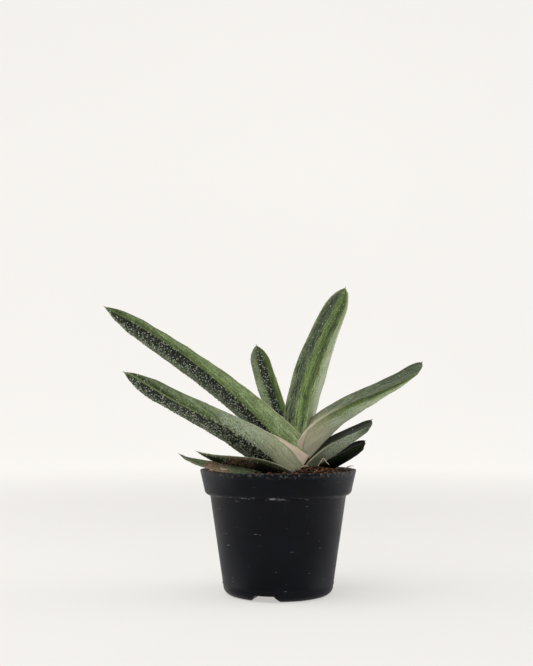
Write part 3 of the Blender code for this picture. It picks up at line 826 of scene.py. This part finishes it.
def channel(angle, height, side, drop):
    """A bar with a trapezoid section that runs outwards along the pot's floor, side wider all round."""
    foot, top = CHANNEL_FOOT_WIDTH / 2 + side, CHANNEL_TOP_WIDTH / 2 + side
    section = [(-foot, -drop), (foot, -drop), (top, height), (-top, height)]
    out = Vector((math.cos(angle), math.sin(angle), 0))
    across = Vector((-math.sin(angle), math.cos(angle), 0))

    def build(bm):
        ends = [
            [bm.verts.new(out * reach + across * x + Vector((0, 0, z))) for x, z in section]
            for reach in (CHANNEL_START - side, BODY_FOOT_RADIUS + FOOT_CORNER)
        ]
        bm.faces.new(ends[0])
        bm.faces.new(ends[1])
        for i in range(4):
            j = (i + 1) % 4
            bm.faces.new([ends[0][i], ends[0][j], ends[1][j], ends[1][i]])

    return solid("channel", build)


def drain(angle):
    """The round hole through a channel's roof."""
    profile = [(0, WALL), (DRAIN_RADIUS, WALL), (DRAIN_RADIUS, 3 * CHANNEL_HEIGHT), (0, 3 * CHANNEL_HEIGHT)]
    hole = solid("drain", lambda bm: turned(bm, profile, 32))
    hole.location = (DRAIN_FROM_AXIS * math.cos(angle), DRAIN_FROM_AXIS * math.sin(angle), 0)
    return hole


def pot_mesh(sides):
    """The thin-walled pot: filled outside, less its hollow, its water channels and their drains."""
    angles = [CHANNEL_FIRST_ANGLE + 2 * math.pi * i / CHANNEL_COUNT for i in range(CHANNEL_COUNT)]
    lip = POT_HEIGHT - WALL / 2
    mouth = [(RIM_RADIUS - WALL, lip), (RIM_RADIUS - WALL, 2 * POT_HEIGHT), (0, 2 * POT_HEIGHT)]
    hollow = solid("hollow", lambda bm: turned(bm, [*inside_profile(0, 8), *mouth], sides))
    cut_from(hollow, [channel(angle, CHANNEL_HEIGHT + WALL, WALL, 0) for angle in angles])
    shell = solid("shell", lambda bm: turned(bm, outside_profile(8), sides))
    channels = [channel(angle, CHANNEL_HEIGHT, 0, WALL) for angle in angles]
    cut_from(shell, [hollow, *channels, *[drain(angle) for angle in angles]])
    mesh = shell.data
    bpy.data.objects.remove(shell)
    return mesh


def pot_material(settings):
    """Black moulded plastic, dusty at the rim, scuffed along the collar's edge, with a painted highlight
    there too, and lightly scratched.
    """
    n = Nodes("black_plastic", Specular_IOR_Level=settings.shine)
    place = n.place()
    x, y, z = n.parts(place)
    cloud = n.noise(place, 45.0, 4.0, 0.6)
    fine = n.noise(place, 1100.0, 3.0, 0.6)
    black = tuple(settings.plastic_colour)
    base = n.mix(n.spread(cloud, 0.35, 0.7), black, tuple(1.8 * c for c in black))
    rim = n.spread(z, POT_HEIGHT - 4.5 * MM, POT_HEIGHT - 0.8 * MM)
    crumbs = n.spread(n.noise(place, 420.0, 5.0, 0.75), 0.5, 0.66)
    rim_dust = n.times(n.times(rim, crumbs), settings.dust)
    haze = n.noise(n.stretched(place, (1, 1, 0.4)), 170.0, 6.0, 0.75)
    faint = n.spread(haze, 0.6, 0.8, 0.0, 0.12 * settings.dust)
    dusty = n.mix(n.sum(rim_dust, faint), base, (0.24, 0.22, 0.2))
    # A pale band at the collar's lower edge, broken into patches: partly scuffs, partly a painted highlight
    # along that edge
    at_step = n.spread(n.away(z, COLLAR_FOOT + 0.7 * MM), 0.2 * MM, 1.3 * MM, 1.0, 0.0)
    patches = n.spread(n.noise(n.stretched(place, (1, 1, 2.5)), 75.0, 5.0, 0.8), 0.55, 0.63)
    scuffs_and_highlight = n.times(n.times(at_step, patches), 0.55)
    scratch_field = n.spread(n.noise(n.stretched(place, (1, 1, 9)), 140.0, 2.0, 0.5), 0.735, 0.76, 0.0, 0.4)
    marked = n.mix(n.sum(scuffs_and_highlight, scratch_field), dusty, (0.4, 0.4, 0.41))
    roughness = n.spread(cloud, 0.3, 0.7, settings.roughness - 0.05, settings.roughness + 0.07)
    at_seam = n.spread(n.away(x, 1.4 * MM), 0.05 * MM, 0.25 * MM, 0.5, 0.0)
    seam = n.times(at_seam, n.spread(y, -0.01, 0.0, 1.0, 0.0))
    height = n.sum(n.times(fine, 0.3), seam)
    return n.finish(marked, n.sum(roughness, n.times(rim_dust, 0.35)), n.bump(height, 0.35, 0.2 * MM))


def soil_height(x, y):
    """The height of the peat: level with coarse lumps, and heaped round the stem."""
    random = np.random.default_rng(7)
    heap = HEAP_HEIGHT * np.exp(-(np.hypot(x - STEM_X, y - STEM_Y) / HEAP_SPREAD) ** 2)
    lumps = 0.5 * ripples(random, x / MM, y / MM, 9) + 0.3 * ripples(random, x / MM, y / MM, 3.2)
    return SOIL_LEVEL + heap + lumps * MM


def soil_mesh(rings, sides):
    """The peat as a closed solid that fills the pot."""
    edge = inner_radius(SOIL_LEVEL, SOIL_GAP)
    wall = inside_profile(SOIL_GAP + CHANNEL_HEIGHT / 4, 4)
    # The peat's underside lies above the roofs of the water channels
    wall[0] = (0, wall[1][1] + CHANNEL_HEIGHT + WALL)
    wall[1:3] = [(BODY_FOOT_RADIUS * 0.8, wall[0][1])]
    turn = np.arange(sides) * 2 * math.pi / sides
    points = [[0, 0, wall[0][1]]]
    for radius, height in wall[1:]:
        x, y = radius * np.cos(turn), radius * np.sin(turn)
        points += np.stack([x, y, np.full(sides, height)], -1).tolist()
    for i in range(rings):
        radius = edge * (1 - i / rings)
        x, y = radius * np.cos(turn), radius * np.sin(turn)
        points += np.stack([x, y, soil_height(x, y)], -1).tolist()
    points.append([0, 0, float(soil_height(0, 0))])
    count = len(wall) - 1 + rings
    faces = [(0, 1 + (j + 1) % sides, 1 + j) for j in range(sides)]
    for i in range(count - 1):
        for j in range(sides):
            k = (j + 1) % sides
            a, b = 1 + i * sides, 1 + (i + 1) * sides
            faces.append((a + j, a + k, b + k, b + j))
    last = 1 + (count - 1) * sides
    faces += [(last + j, last + (j + 1) % sides, len(points) - 1) for j in range(sides)]
    return make_mesh("soil_bed", points, faces)


def soil_material(settings):
    """Damp peat: dark, with lighter fibres and crumbs."""
    n = Nodes("peat", Specular_IOR_Level=0.2)
    place = n.place()
    coarse, fine = n.noise(place, 260.0, 5.0, 0.65), n.noise(place, 1400.0, 3.0, 0.6)
    blend = n.sum(n.times(coarse, 0.7), n.times(fine, 0.3))
    shades = ((0.006, 0.004, 0.003), tuple(settings.peat_colour), (0.13, 0.06, 0.026))
    colour = n.ramp(blend, shades, 0.3, 0.7)
    height = n.sum(coarse, n.times(fine, 0.4))
    return n.finish(colour, n.spread(fine, 0.3, 0.7, 0.8, 1.0), n.bump(height, 0.9, 0.8 * MM))


def chip_material(settings):
    """Bark: dark and orange-brown layers, with pale broken faces."""
    n = Nodes("bark", Specular_IOR_Level=0.25)
    place = n.place()
    grain = n.noise(n.stretched(place, (1, 1, 3)), 800.0, 4.0, 0.6)
    bark = tuple(settings.bark_colour)
    shade = n.sum(n.held("shade"), n.spread(grain, 0.3, 0.7, -0.2, 0.2))
    colour = n.ramp(shade, ((0.01, 0.006, 0.004), (0.05, 0.022, 0.01), bark, (0.34, 0.18, 0.08)))
    return n.finish(colour, n.spread(grain, 0.3, 0.7, 0.7, 0.95), n.bump(grain, 0.6, 0.3 * MM))


def rotation(axis, angle):
    """A turn about x, y or z, as a matrix for points in rows."""
    c, s = math.cos(angle), math.sin(angle)
    turn = np.eye(3)
    i, j = [k for k in range(3) if k != axis]
    turn[i, i], turn[i, j], turn[j, i], turn[j, j] = c, s, -s, c
    return turn


def chips_mesh(places, sizes, random):
    """Broken bark: random angular lumps, each flatter than it is long, lying at a slight slant."""
    golden = (1 + math.sqrt(5)) / 2
    corners, pairs = [], ((-1, golden), (1, golden), (-1, -golden), (1, -golden))
    for axis in range(3):
        for short, long in pairs:
            corner = [0.0, 0.0, 0.0]
            corner[axis], corner[(axis + 1) % 3] = short, long
            corners.append(corner)
    lump = bmesh.new()
    for corner in corners:
        lump.verts.new(Vector(corner).normalized())
    bmesh.ops.convex_hull(lump, input=lump.verts)
    lump.verts.index_update()
    sides = [tuple(vertex.index for vertex in face.verts) for face in lump.faces]
    ball = np.array([tuple(vertex.co) for vertex in lump.verts])
    lump.free()
    points = []
    for place, size in zip(places, sizes):
        flat = (1, random.uniform(0.35, 0.9), random.uniform(0.2, 0.6))
        shape = ball * random.uniform(0.55, 1.25, (len(ball), 1)) * flat
        shape = shape @ rotation(1, random.normal(0, 0.35)) @ rotation(2, random.uniform(0, 2 * math.pi))
        points.append(shape * size + place)
    faces = [tuple(len(ball) * i + v for v in side) for i in range(len(places)) for side in sides]
    mesh = make_mesh("chips", np.concatenate(points), faces)
    store(mesh, "shade", np.repeat(random.uniform(0, 1, len(places)) ** 2.6, len(ball)))
    return mesh


def ribbon_mesh(start, middle, end, width, twist):
    """A thin dry scale: a curved strip that narrows at both ends, with a little thickness."""
    steps, start, middle, end = 16, *(np.array(p, dtype=float) for p in (start, middle, end))
    t = np.linspace(0, 1, steps)[:, None]
    line = start * (1 - t) ** 2 + middle * 2 * t * (1 - t) + end * t * t
    way = unit(np.gradient(line, axis=0))
    across = unit(np.cross(way, (math.sin(twist), -math.cos(twist), 0.3)))
    out = np.cross(across, way)
    half = width / 2 * np.sin(math.pi * (0.08 + 0.88 * t)) ** 0.7
    rows = [line - across * half, line + out * 0.15, line + across * half, line - out * 0.15]
    points = np.stack(rows, 1)
    faces = []
    for i in range(steps - 1):
        for j in range(4):
            k = (j + 1) % 4
            faces.append((4 * i + j, 4 * i + k, 4 * i + 4 + k, 4 * i + 4 + j))
    faces.append((3, 2, 1, 0))
    faces.append(tuple(4 * (steps - 1) + j for j in range(4)))
    return points.reshape(-1, 3) * MM, faces


# Dry scales at the foot of the leaves: start, middle, end, width in millimetres, and twist
SCALES = (
    ((26, -20, 85), (28, -21, 88.5), (30, -20, 90.5), 0.7, 0.2),
    ((30, -20, 90.3), (31, -21, 88), (33.5, -22, 86), 0.6, 0.4),
    ((44, -16, 83.5), (47, -17, 85.5), (50, -16, 85), 0.9, 0.9),
    ((15, -26, 84.5), (17, -27, 86.5), (20, -26, 85), 0.6, 0.3),
    ((-44, -28, 83), (-39, -33, 84.5), (-33, -34, 83.5), 1.2, 0.3),
)


def scale_material(settings):
    """Thin dry skin, light and darker in streaks."""
    n = Nodes("dry_scale", Specular_IOR_Level=0.2)
    grain = n.noise(n.stretched(n.place(), (1, 1, 0.4)), 700.0, 4.0, 0.6)
    light = tuple(settings.flange_colour)
    colour = n.ramp(grain, (tuple(0.25 * c for c in light), light, tuple(1.2 * c for c in light)), 0.3, 0.7)
    return n.finish(colour, n.spread(grain, 0.3, 0.7, 0.7, 0.9), n.bump(grain, 0.5, 0.2 * MM))


def stem_material():
    """Pale brown flesh of the short stem and its roots."""
    n = Nodes("stem_flesh", Specular_IOR_Level=0.3)
    cloud = n.noise(n.place(), 300.0, 4.0)
    colour = n.ramp(cloud, ((0.2, 0.14, 0.08), (0.5, 0.42, 0.3)), 0.3, 0.7)
    return n.finish(colour, n.spread(cloud, 0.3, 0.7, 0.55, 0.8), n.bump(cloud, 0.4, 0.4 * MM))


def colour_setting(name, description, default):
    """A colour that a user can change."""
    return bpy.props.FloatVectorProperty(
        name=name, description=description, subtype="COLOR", default=default, min=0, max=1
    )


def number_setting(name, description, default, low, high, subtype="NONE"):
    """A number that a user can change, between two limits."""
    return bpy.props.FloatProperty(
        name=name, description=description, subtype=subtype, default=default, min=low, max=high
    )


def count_setting(name, description, default, low, high):
    """A whole number that a user can change, between two limits."""
    return bpy.props.IntProperty(name=name, description=description, default=default, min=low, max=high)


class GasteriaLeafSettings(bpy.types.PropertyGroup):
    stations: count_setting("Rings", "Rings of points along a leaf", 160, 20, 400)
    tubercle_spacing: number_setting(
        "Tubercle spacing", "Distance between tubercles in a band, in millimetres", 1.28, 0.4, 4.0
    )
    tubercle_size: number_setting("Tubercle size", "Width of a tubercle, in millimetres", 1.22, 0.2, 3.0)
    speckle_colour: colour_setting("Tubercle colour", "Colour of the pale tubercles", (0.36, 0.41, 0.31))
    base_colour: colour_setting("Leaf base", "Colour of the bleached leaf bases", (0.56, 0.52, 0.37))
    flange_colour: colour_setting(
        "Base margin", "Colour of the broad margins at the leaf bases", (0.66, 0.53, 0.42)
    )
    network_colour: colour_setting(
        "Network", "Colour between the dark spots of the speckled bands", (0.115, 0.15, 0.09)
    )
    ridge_colour: colour_setting("Ridge", "Colour of the thin line along a keel", (0.2, 0.27, 0.1))
    margin_colour: colour_setting("Margin", "Colour of the cream leaf margins", (0.5, 0.48, 0.3))
    roughness: number_setting("Roughness", "Roughness of the leaf skin", 0.5, 0.1, 1, "FACTOR")
    shine: number_setting("Shine", "Strength of the skin's reflections", 0.15, 0, 1, "FACTOR")


class GasteriaSoilSettings(bpy.types.PropertyGroup):
    chips: count_setting("Chips", "Number of bark chips on the soil", 1900, 0, 6000)
    chip_size: number_setting("Chip size", "Length of a large chip", 4 * MM, 0.0005, 0.02, "DISTANCE")
    peat_colour: colour_setting("Peat", "Colour of the peat", (0.035, 0.017, 0.009))
    bark_colour: colour_setting("Bark", "Colour of the bark chips", (0.2, 0.075, 0.026))


class GasteriaPotSettings(bpy.types.PropertyGroup):
    sides: count_setting("Sides", "Sides of the round pot", 240, 24, 400)
    plastic_colour: colour_setting("Plastic", "Colour of the pot", (0.002, 0.0025, 0.0045))
    roughness: number_setting("Roughness", "Roughness of the plastic", 0.4, 0.05, 1, "FACTOR")
    shine: number_setting("Shine", "Strength of the plastic's reflections", 0.11, 0, 1, "FACTOR")
    dust: number_setting("Dust", "Amount of dust on the rim", 0.5, 0, 1, "FACTOR")


class GasteriaStageSettings(bpy.types.PropertyGroup):
    floor_colour: colour_setting("Floor", "Colour of the floor and backdrop", (0.92, 0.9, 0.87))
    floor_glow: number_setting("Backdrop glow", "Light from behind the translucent backdrop", 0.55, 0, 2)
    key_power: number_setting("Top light", "Power of the light above", 7.2, 0, 200, "POWER")
    side_power: number_setting("Side lights", "Power of each light at the side", 4.2, 0, 200, "POWER")
    ambient: number_setting("Ambient", "Strength of the light from all round", 0.47, 0, 5)
    lens: number_setting("Lens", "Focal length of the camera, in millimetres", 52.43, 10, 300)


class GasteriaSettings(bpy.types.PropertyGroup):
    leaves: bpy.props.PointerProperty(type=GasteriaLeafSettings)
    soil: bpy.props.PointerProperty(type=GasteriaSoilSettings)
    pot: bpy.props.PointerProperty(type=GasteriaPotSettings)
    stage: bpy.props.PointerProperty(type=GasteriaStageSettings)


class GASTERIA_OT_leaves(bpy.types.Operator):
    """Builds the fine skins of the leaves and their tubercles"""

    bl_idname = "gasteria.leaves"
    bl_label = "Leaves"

    def execute(self, context):
        settings = context.scene.gasteria.leaves
        bright = leaf_material("leaf_skin_finish", settings, settings.shine)
        # A duller copy of the leaf finish, for the leaf that is painted black as shade
        shaded_finish = leaf_material("painted_shade_leaf_finish", settings, settings.shine / 10)
        pale = tubercle_material(settings)
        for seed, name in enumerate(SHAPES):
            skin = LeafSkin(name, settings.stations, seed)
            skin_finish = shaded_finish if name == LEAF_IN_PAINTED_SHADE else bright
            add_piece(name + "_skin", skin.build(), skin_finish, "leaf_skin", name)
            domes = skin.tubercles(settings.tubercle_spacing, settings.tubercle_size)
            if len(domes.vertices):
                add_piece(name + "_tubercles", domes, pale, "leaf_skin")
        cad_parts["stem"].material_slots[0].material = stem_material()
        return {"FINISHED"}


class GASTERIA_OT_soil(bpy.types.Operator):
    """Builds the peat, the bark chips scattered over it and the dry scales at the leaf bases"""

    bl_idname = "gasteria.soil"
    bl_label = "Soil"

    def execute(self, context):
        settings = context.scene.gasteria.soil
        add_piece("soil_bed", soil_mesh(70, 180), soil_material(settings), "soil_earth", "soil")
        bark = chip_material(settings)
        random = np.random.default_rng(11)
        edge = inner_radius(SOIL_LEVEL, SOIL_GAP)
        reach = np.sqrt(random.uniform(0, 1, settings.chips)) * (edge - CHIPS_FROM_WALL)
        sizes = settings.chip_size / 2 * (0.16 + 0.84 * random.uniform(0, 1, settings.chips) ** 2.5)
        self.scatter("bark_chips", reach, sizes, 0.25, bark, random, None)
        heap = settings.chips // CHIPS_FOR_ONE_IN_HEAP
        turn, far = random.uniform(0, 2 * math.pi, heap), np.sqrt(random.uniform(0, 1, heap))
        x = BARK_HEAP_X + BARK_HEAP_REACH_X * far * np.cos(turn)
        y = BARK_HEAP_Y + BARK_HEAP_REACH_Y * far * np.sin(turn)
        inside = np.minimum(1, (edge - BARK_HEAP_FROM_WALL) / np.hypot(x, y))
        x, y = x * inside, y * inside
        lift = BARK_HEAP_LIFT * (1 - far**2) * random.uniform(0.2, 1, heap)
        sizes = settings.chip_size / 2 * random.uniform(0.3, 0.85, heap)
        places = np.stack([x, y, soil_height(x, y) + lift], -1)
        add_piece("bark_heap", chips_mesh(places, sizes, random), bark, "soil_earth").data.shade_flat()
        rim = np.full(RIM_CRUMBS, RIM_RADIUS - WALL / 2) + random.uniform(-0.45, 0.45, RIM_CRUMBS) * WALL
        sizes = random.uniform(0.12, 0.42, RIM_CRUMBS) * MM
        self.scatter("rim_crumbs", rim, sizes, 0.3, bark, random, POT_HEIGHT)
        self.scales(context)
        return {"FINISHED"}

    def scatter(self, name, reach, sizes, sunk, material, random, level):
        """Chips at these distances from the axis, lying on the peat, or at a level."""
        turn = random.uniform(0, 2 * math.pi, len(reach))
        x, y = reach * np.cos(turn), reach * np.sin(turn)
        z = soil_height(x, y) if level is None else np.full(len(reach), level)
        places = np.stack([x, y, z + sizes * (0.4 - sunk)], -1)
        add_piece(name, chips_mesh(places, sizes, random), material, "soil_earth").data.shade_flat()

    def scales(self, context):
        """The dry scales as one piece."""
        points, faces, count = [], [], 0
        for scale in SCALES:
            own_points, own_faces = ribbon_mesh(*scale)
            points.append(own_points)
            faces += [tuple(v + count for v in face) for face in own_faces]
            count += len(own_points)
        mesh = make_mesh("dry_scales", np.concatenate(points), faces)
        add_piece("dry_scales", mesh, scale_material(context.scene.gasteria.leaves), "leaf_skin")


class GASTERIA_OT_pot(bpy.types.Operator):
    """Builds the thin-walled pot with its collar, lip and water channels"""

    bl_idname = "gasteria.pot"
    bl_label = "Pot"

    def execute(self, context):
        settings = context.scene.gasteria.pot
        mesh = pot_mesh(settings.sides)
        add_piece("pot_shell", mesh, pot_material(settings), "pot_plastic", "pot")
        mesh.set_sharp_from_angle(angle=math.radians(35))
        return {"FINISHED"}


class GASTERIA_OT_stage(bpy.types.Operator):
    """Sets up the pale sweep, the soft lights and the camera"""

    bl_idname = "gasteria.stage"
    bl_label = "Studio"

    def execute(self, context):
        settings = context.scene.gasteria.stage
        self.sweep(settings)
        self.light("top_light", (-0.3, -0.35, 1.1), 1.0, settings.key_power)
        self.light("left_light", (-0.9, 0.1, 0.3), 0.7, settings.side_power)
        self.light("right_light", (0.9, 0.1, 0.3), 0.7, settings.side_power)
        self.world(context, settings)
        context.scene.view_settings.view_transform = "Standard"
        self.camera(context, settings)
        return {"FINISHED"}

    def world(self, context, settings):
        """A pale room that is dimmer in front of the plant, where the camera stands."""
        world = bpy.data.worlds.new("soft_room")
        world.use_nodes = True
        nodes, links = world.node_tree.nodes, world.node_tree.links
        background = nodes["Background"]
        background.inputs["Strength"].default_value = settings.ambient
        direction = nodes.new("ShaderNodeTexCoord")
        parts = nodes.new("ShaderNodeSeparateXYZ")
        front = nodes.new("ShaderNodeMapRange")
        front.interpolation_type = "SMOOTHSTEP"
        tint = nodes.new("ShaderNodeMix")
        tint.data_type = "RGBA"
        links.new(direction.outputs["Generated"], parts.inputs[0])
        links.new(parts.outputs[1], front.inputs[0])
        front.inputs[1].default_value = -1
        front.inputs[2].default_value = 0.2
        links.new(front.outputs[0], tint.inputs[0])
        tint.inputs[6].default_value = (0.6, 0.6, 0.61, 1)
        tint.inputs[7].default_value = (1.5, 1.48, 1.45, 1)
        links.new(tint.outputs[2], background.inputs["Color"])
        context.scene.world = world

    def sweep(self, settings):
        """A floor that curves up into a backdrop, lit a little from behind."""
        half, front, back, bend, top = 3.0, -2.5, 1.6, 0.9, 3.2
        profile = [(front, 0.0), (back, 0.0)]
        for i in range(1, 13):
            turn = i / 12 * math.pi / 2
            profile.append((back + bend * math.sin(turn), bend * (1 - math.cos(turn))))
        profile.append((back + bend, top))
        points = [(side * half, y, z) for y, z in profile for side in (-1, 1)]
        faces = [(2 * i, 2 * i + 1, 2 * i + 3, 2 * i + 2) for i in range(len(profile) - 1)]
        pale = tuple(settings.floor_colour)
        n = Nodes("paper", Emission_Strength=settings.floor_glow, Specular_IOR_Level=0.0)
        cloud = n.noise(n.place(), 1.2, 3.0)
        colour = n.ramp(cloud, (tuple(0.33 * c for c in pale), tuple(0.36 * c for c in pale)), 0.2, 0.8)
        away = n.add("VectorMath", {"operation": "LENGTH"}, _0=n.place()).outputs["Value"]
        glow = n.ramp(n.spread(away, 0.4, 1.6), (pale, tuple(1.45 * c for c in pale)))
        n.plug(n.shader.inputs["Emission Color"], glow)
        paper = n.finish(colour, n.spread(cloud, 0.2, 0.8, 0.85, 0.95), n.bump(cloud, 0.02, MM))
        mesh = make_mesh("sweep", points, faces)
        mesh.materials.append(paper)
        mesh.shade_smooth()
        sweep = bpy.data.objects.new("sweep", mesh)
        bpy.context.scene.collection.objects.link(sweep)

    def light(self, name, place, size, power):
        """A square soft light that faces the plant."""
        data = bpy.data.lights.new(name, "AREA")
        data.shape = "SQUARE"
        data.size = size
        data.energy = power
        lamp = bpy.data.objects.new(name, data)
        lamp.location = place
        lamp.rotation_mode = "QUATERNION"
        lamp.rotation_quaternion = (Vector((0, 0, 0.1)) - lamp.location).to_track_quat("-Z", "Y")
        bpy.context.scene.collection.objects.link(lamp)

    def camera(self, context, settings):
        """A little above the rim and tilted up by a few degrees."""
        data = bpy.data.cameras.new("camera")
        data.lens = settings.lens
        data.sensor_width = SENSOR_WIDTH
        camera = bpy.data.objects.new("camera", data)
        camera.location = (0, -CAMERA_DISTANCE, POT_HEIGHT + CAMERA_OVER_RIM)
        camera.rotation_euler = (CAMERA_TILT, 0, CAMERA_TURN)
        context.scene.collection.objects.link(camera)
        context.scene.camera = camera


class GASTERIA_PT_panel(bpy.types.Panel):
    """Lists the pieces of the plant and their settings"""

    bl_idname = "GASTERIA_PT_panel"
    bl_label = "Gasteria"
    bl_space_type = "VIEW_3D"
    bl_region_type = "UI"
    bl_category = "Gasteria"

    def draw(self, context):
        settings = context.scene.gasteria
        groups = (settings.leaves, settings.soil, settings.pot, settings.stage)
        for operator, group in zip(OPERATORS, groups):
            box = self.layout.box()
            box.operator(operator.bl_idname)
            for name in group.__annotations__:
                box.prop(group, name)


OPERATORS = (GASTERIA_OT_leaves, GASTERIA_OT_soil, GASTERIA_OT_pot, GASTERIA_OT_stage)
GROUPS = (
    GasteriaLeafSettings, GasteriaSoilSettings, GasteriaPotSettings, GasteriaStageSettings, GasteriaSettings,
)


def register():
    for kind in (*GROUPS, *OPERATORS, GASTERIA_PT_panel):
        bpy.utils.register_class(kind)
    bpy.types.Scene.gasteria = bpy.props.PointerProperty(type=GasteriaSettings)


def unregister():
    del bpy.types.Scene.gasteria
    for kind in reversed((*GROUPS, *OPERATORS, GASTERIA_PT_panel)):
        bpy.utils.unregister_class(kind)


def main():
    register()
    bpy.ops.gasteria.leaves()
    bpy.ops.gasteria.soil()
    bpy.ops.gasteria.pot()
    bpy.ops.gasteria.stage()


if __name__ == "__main__":
    main()
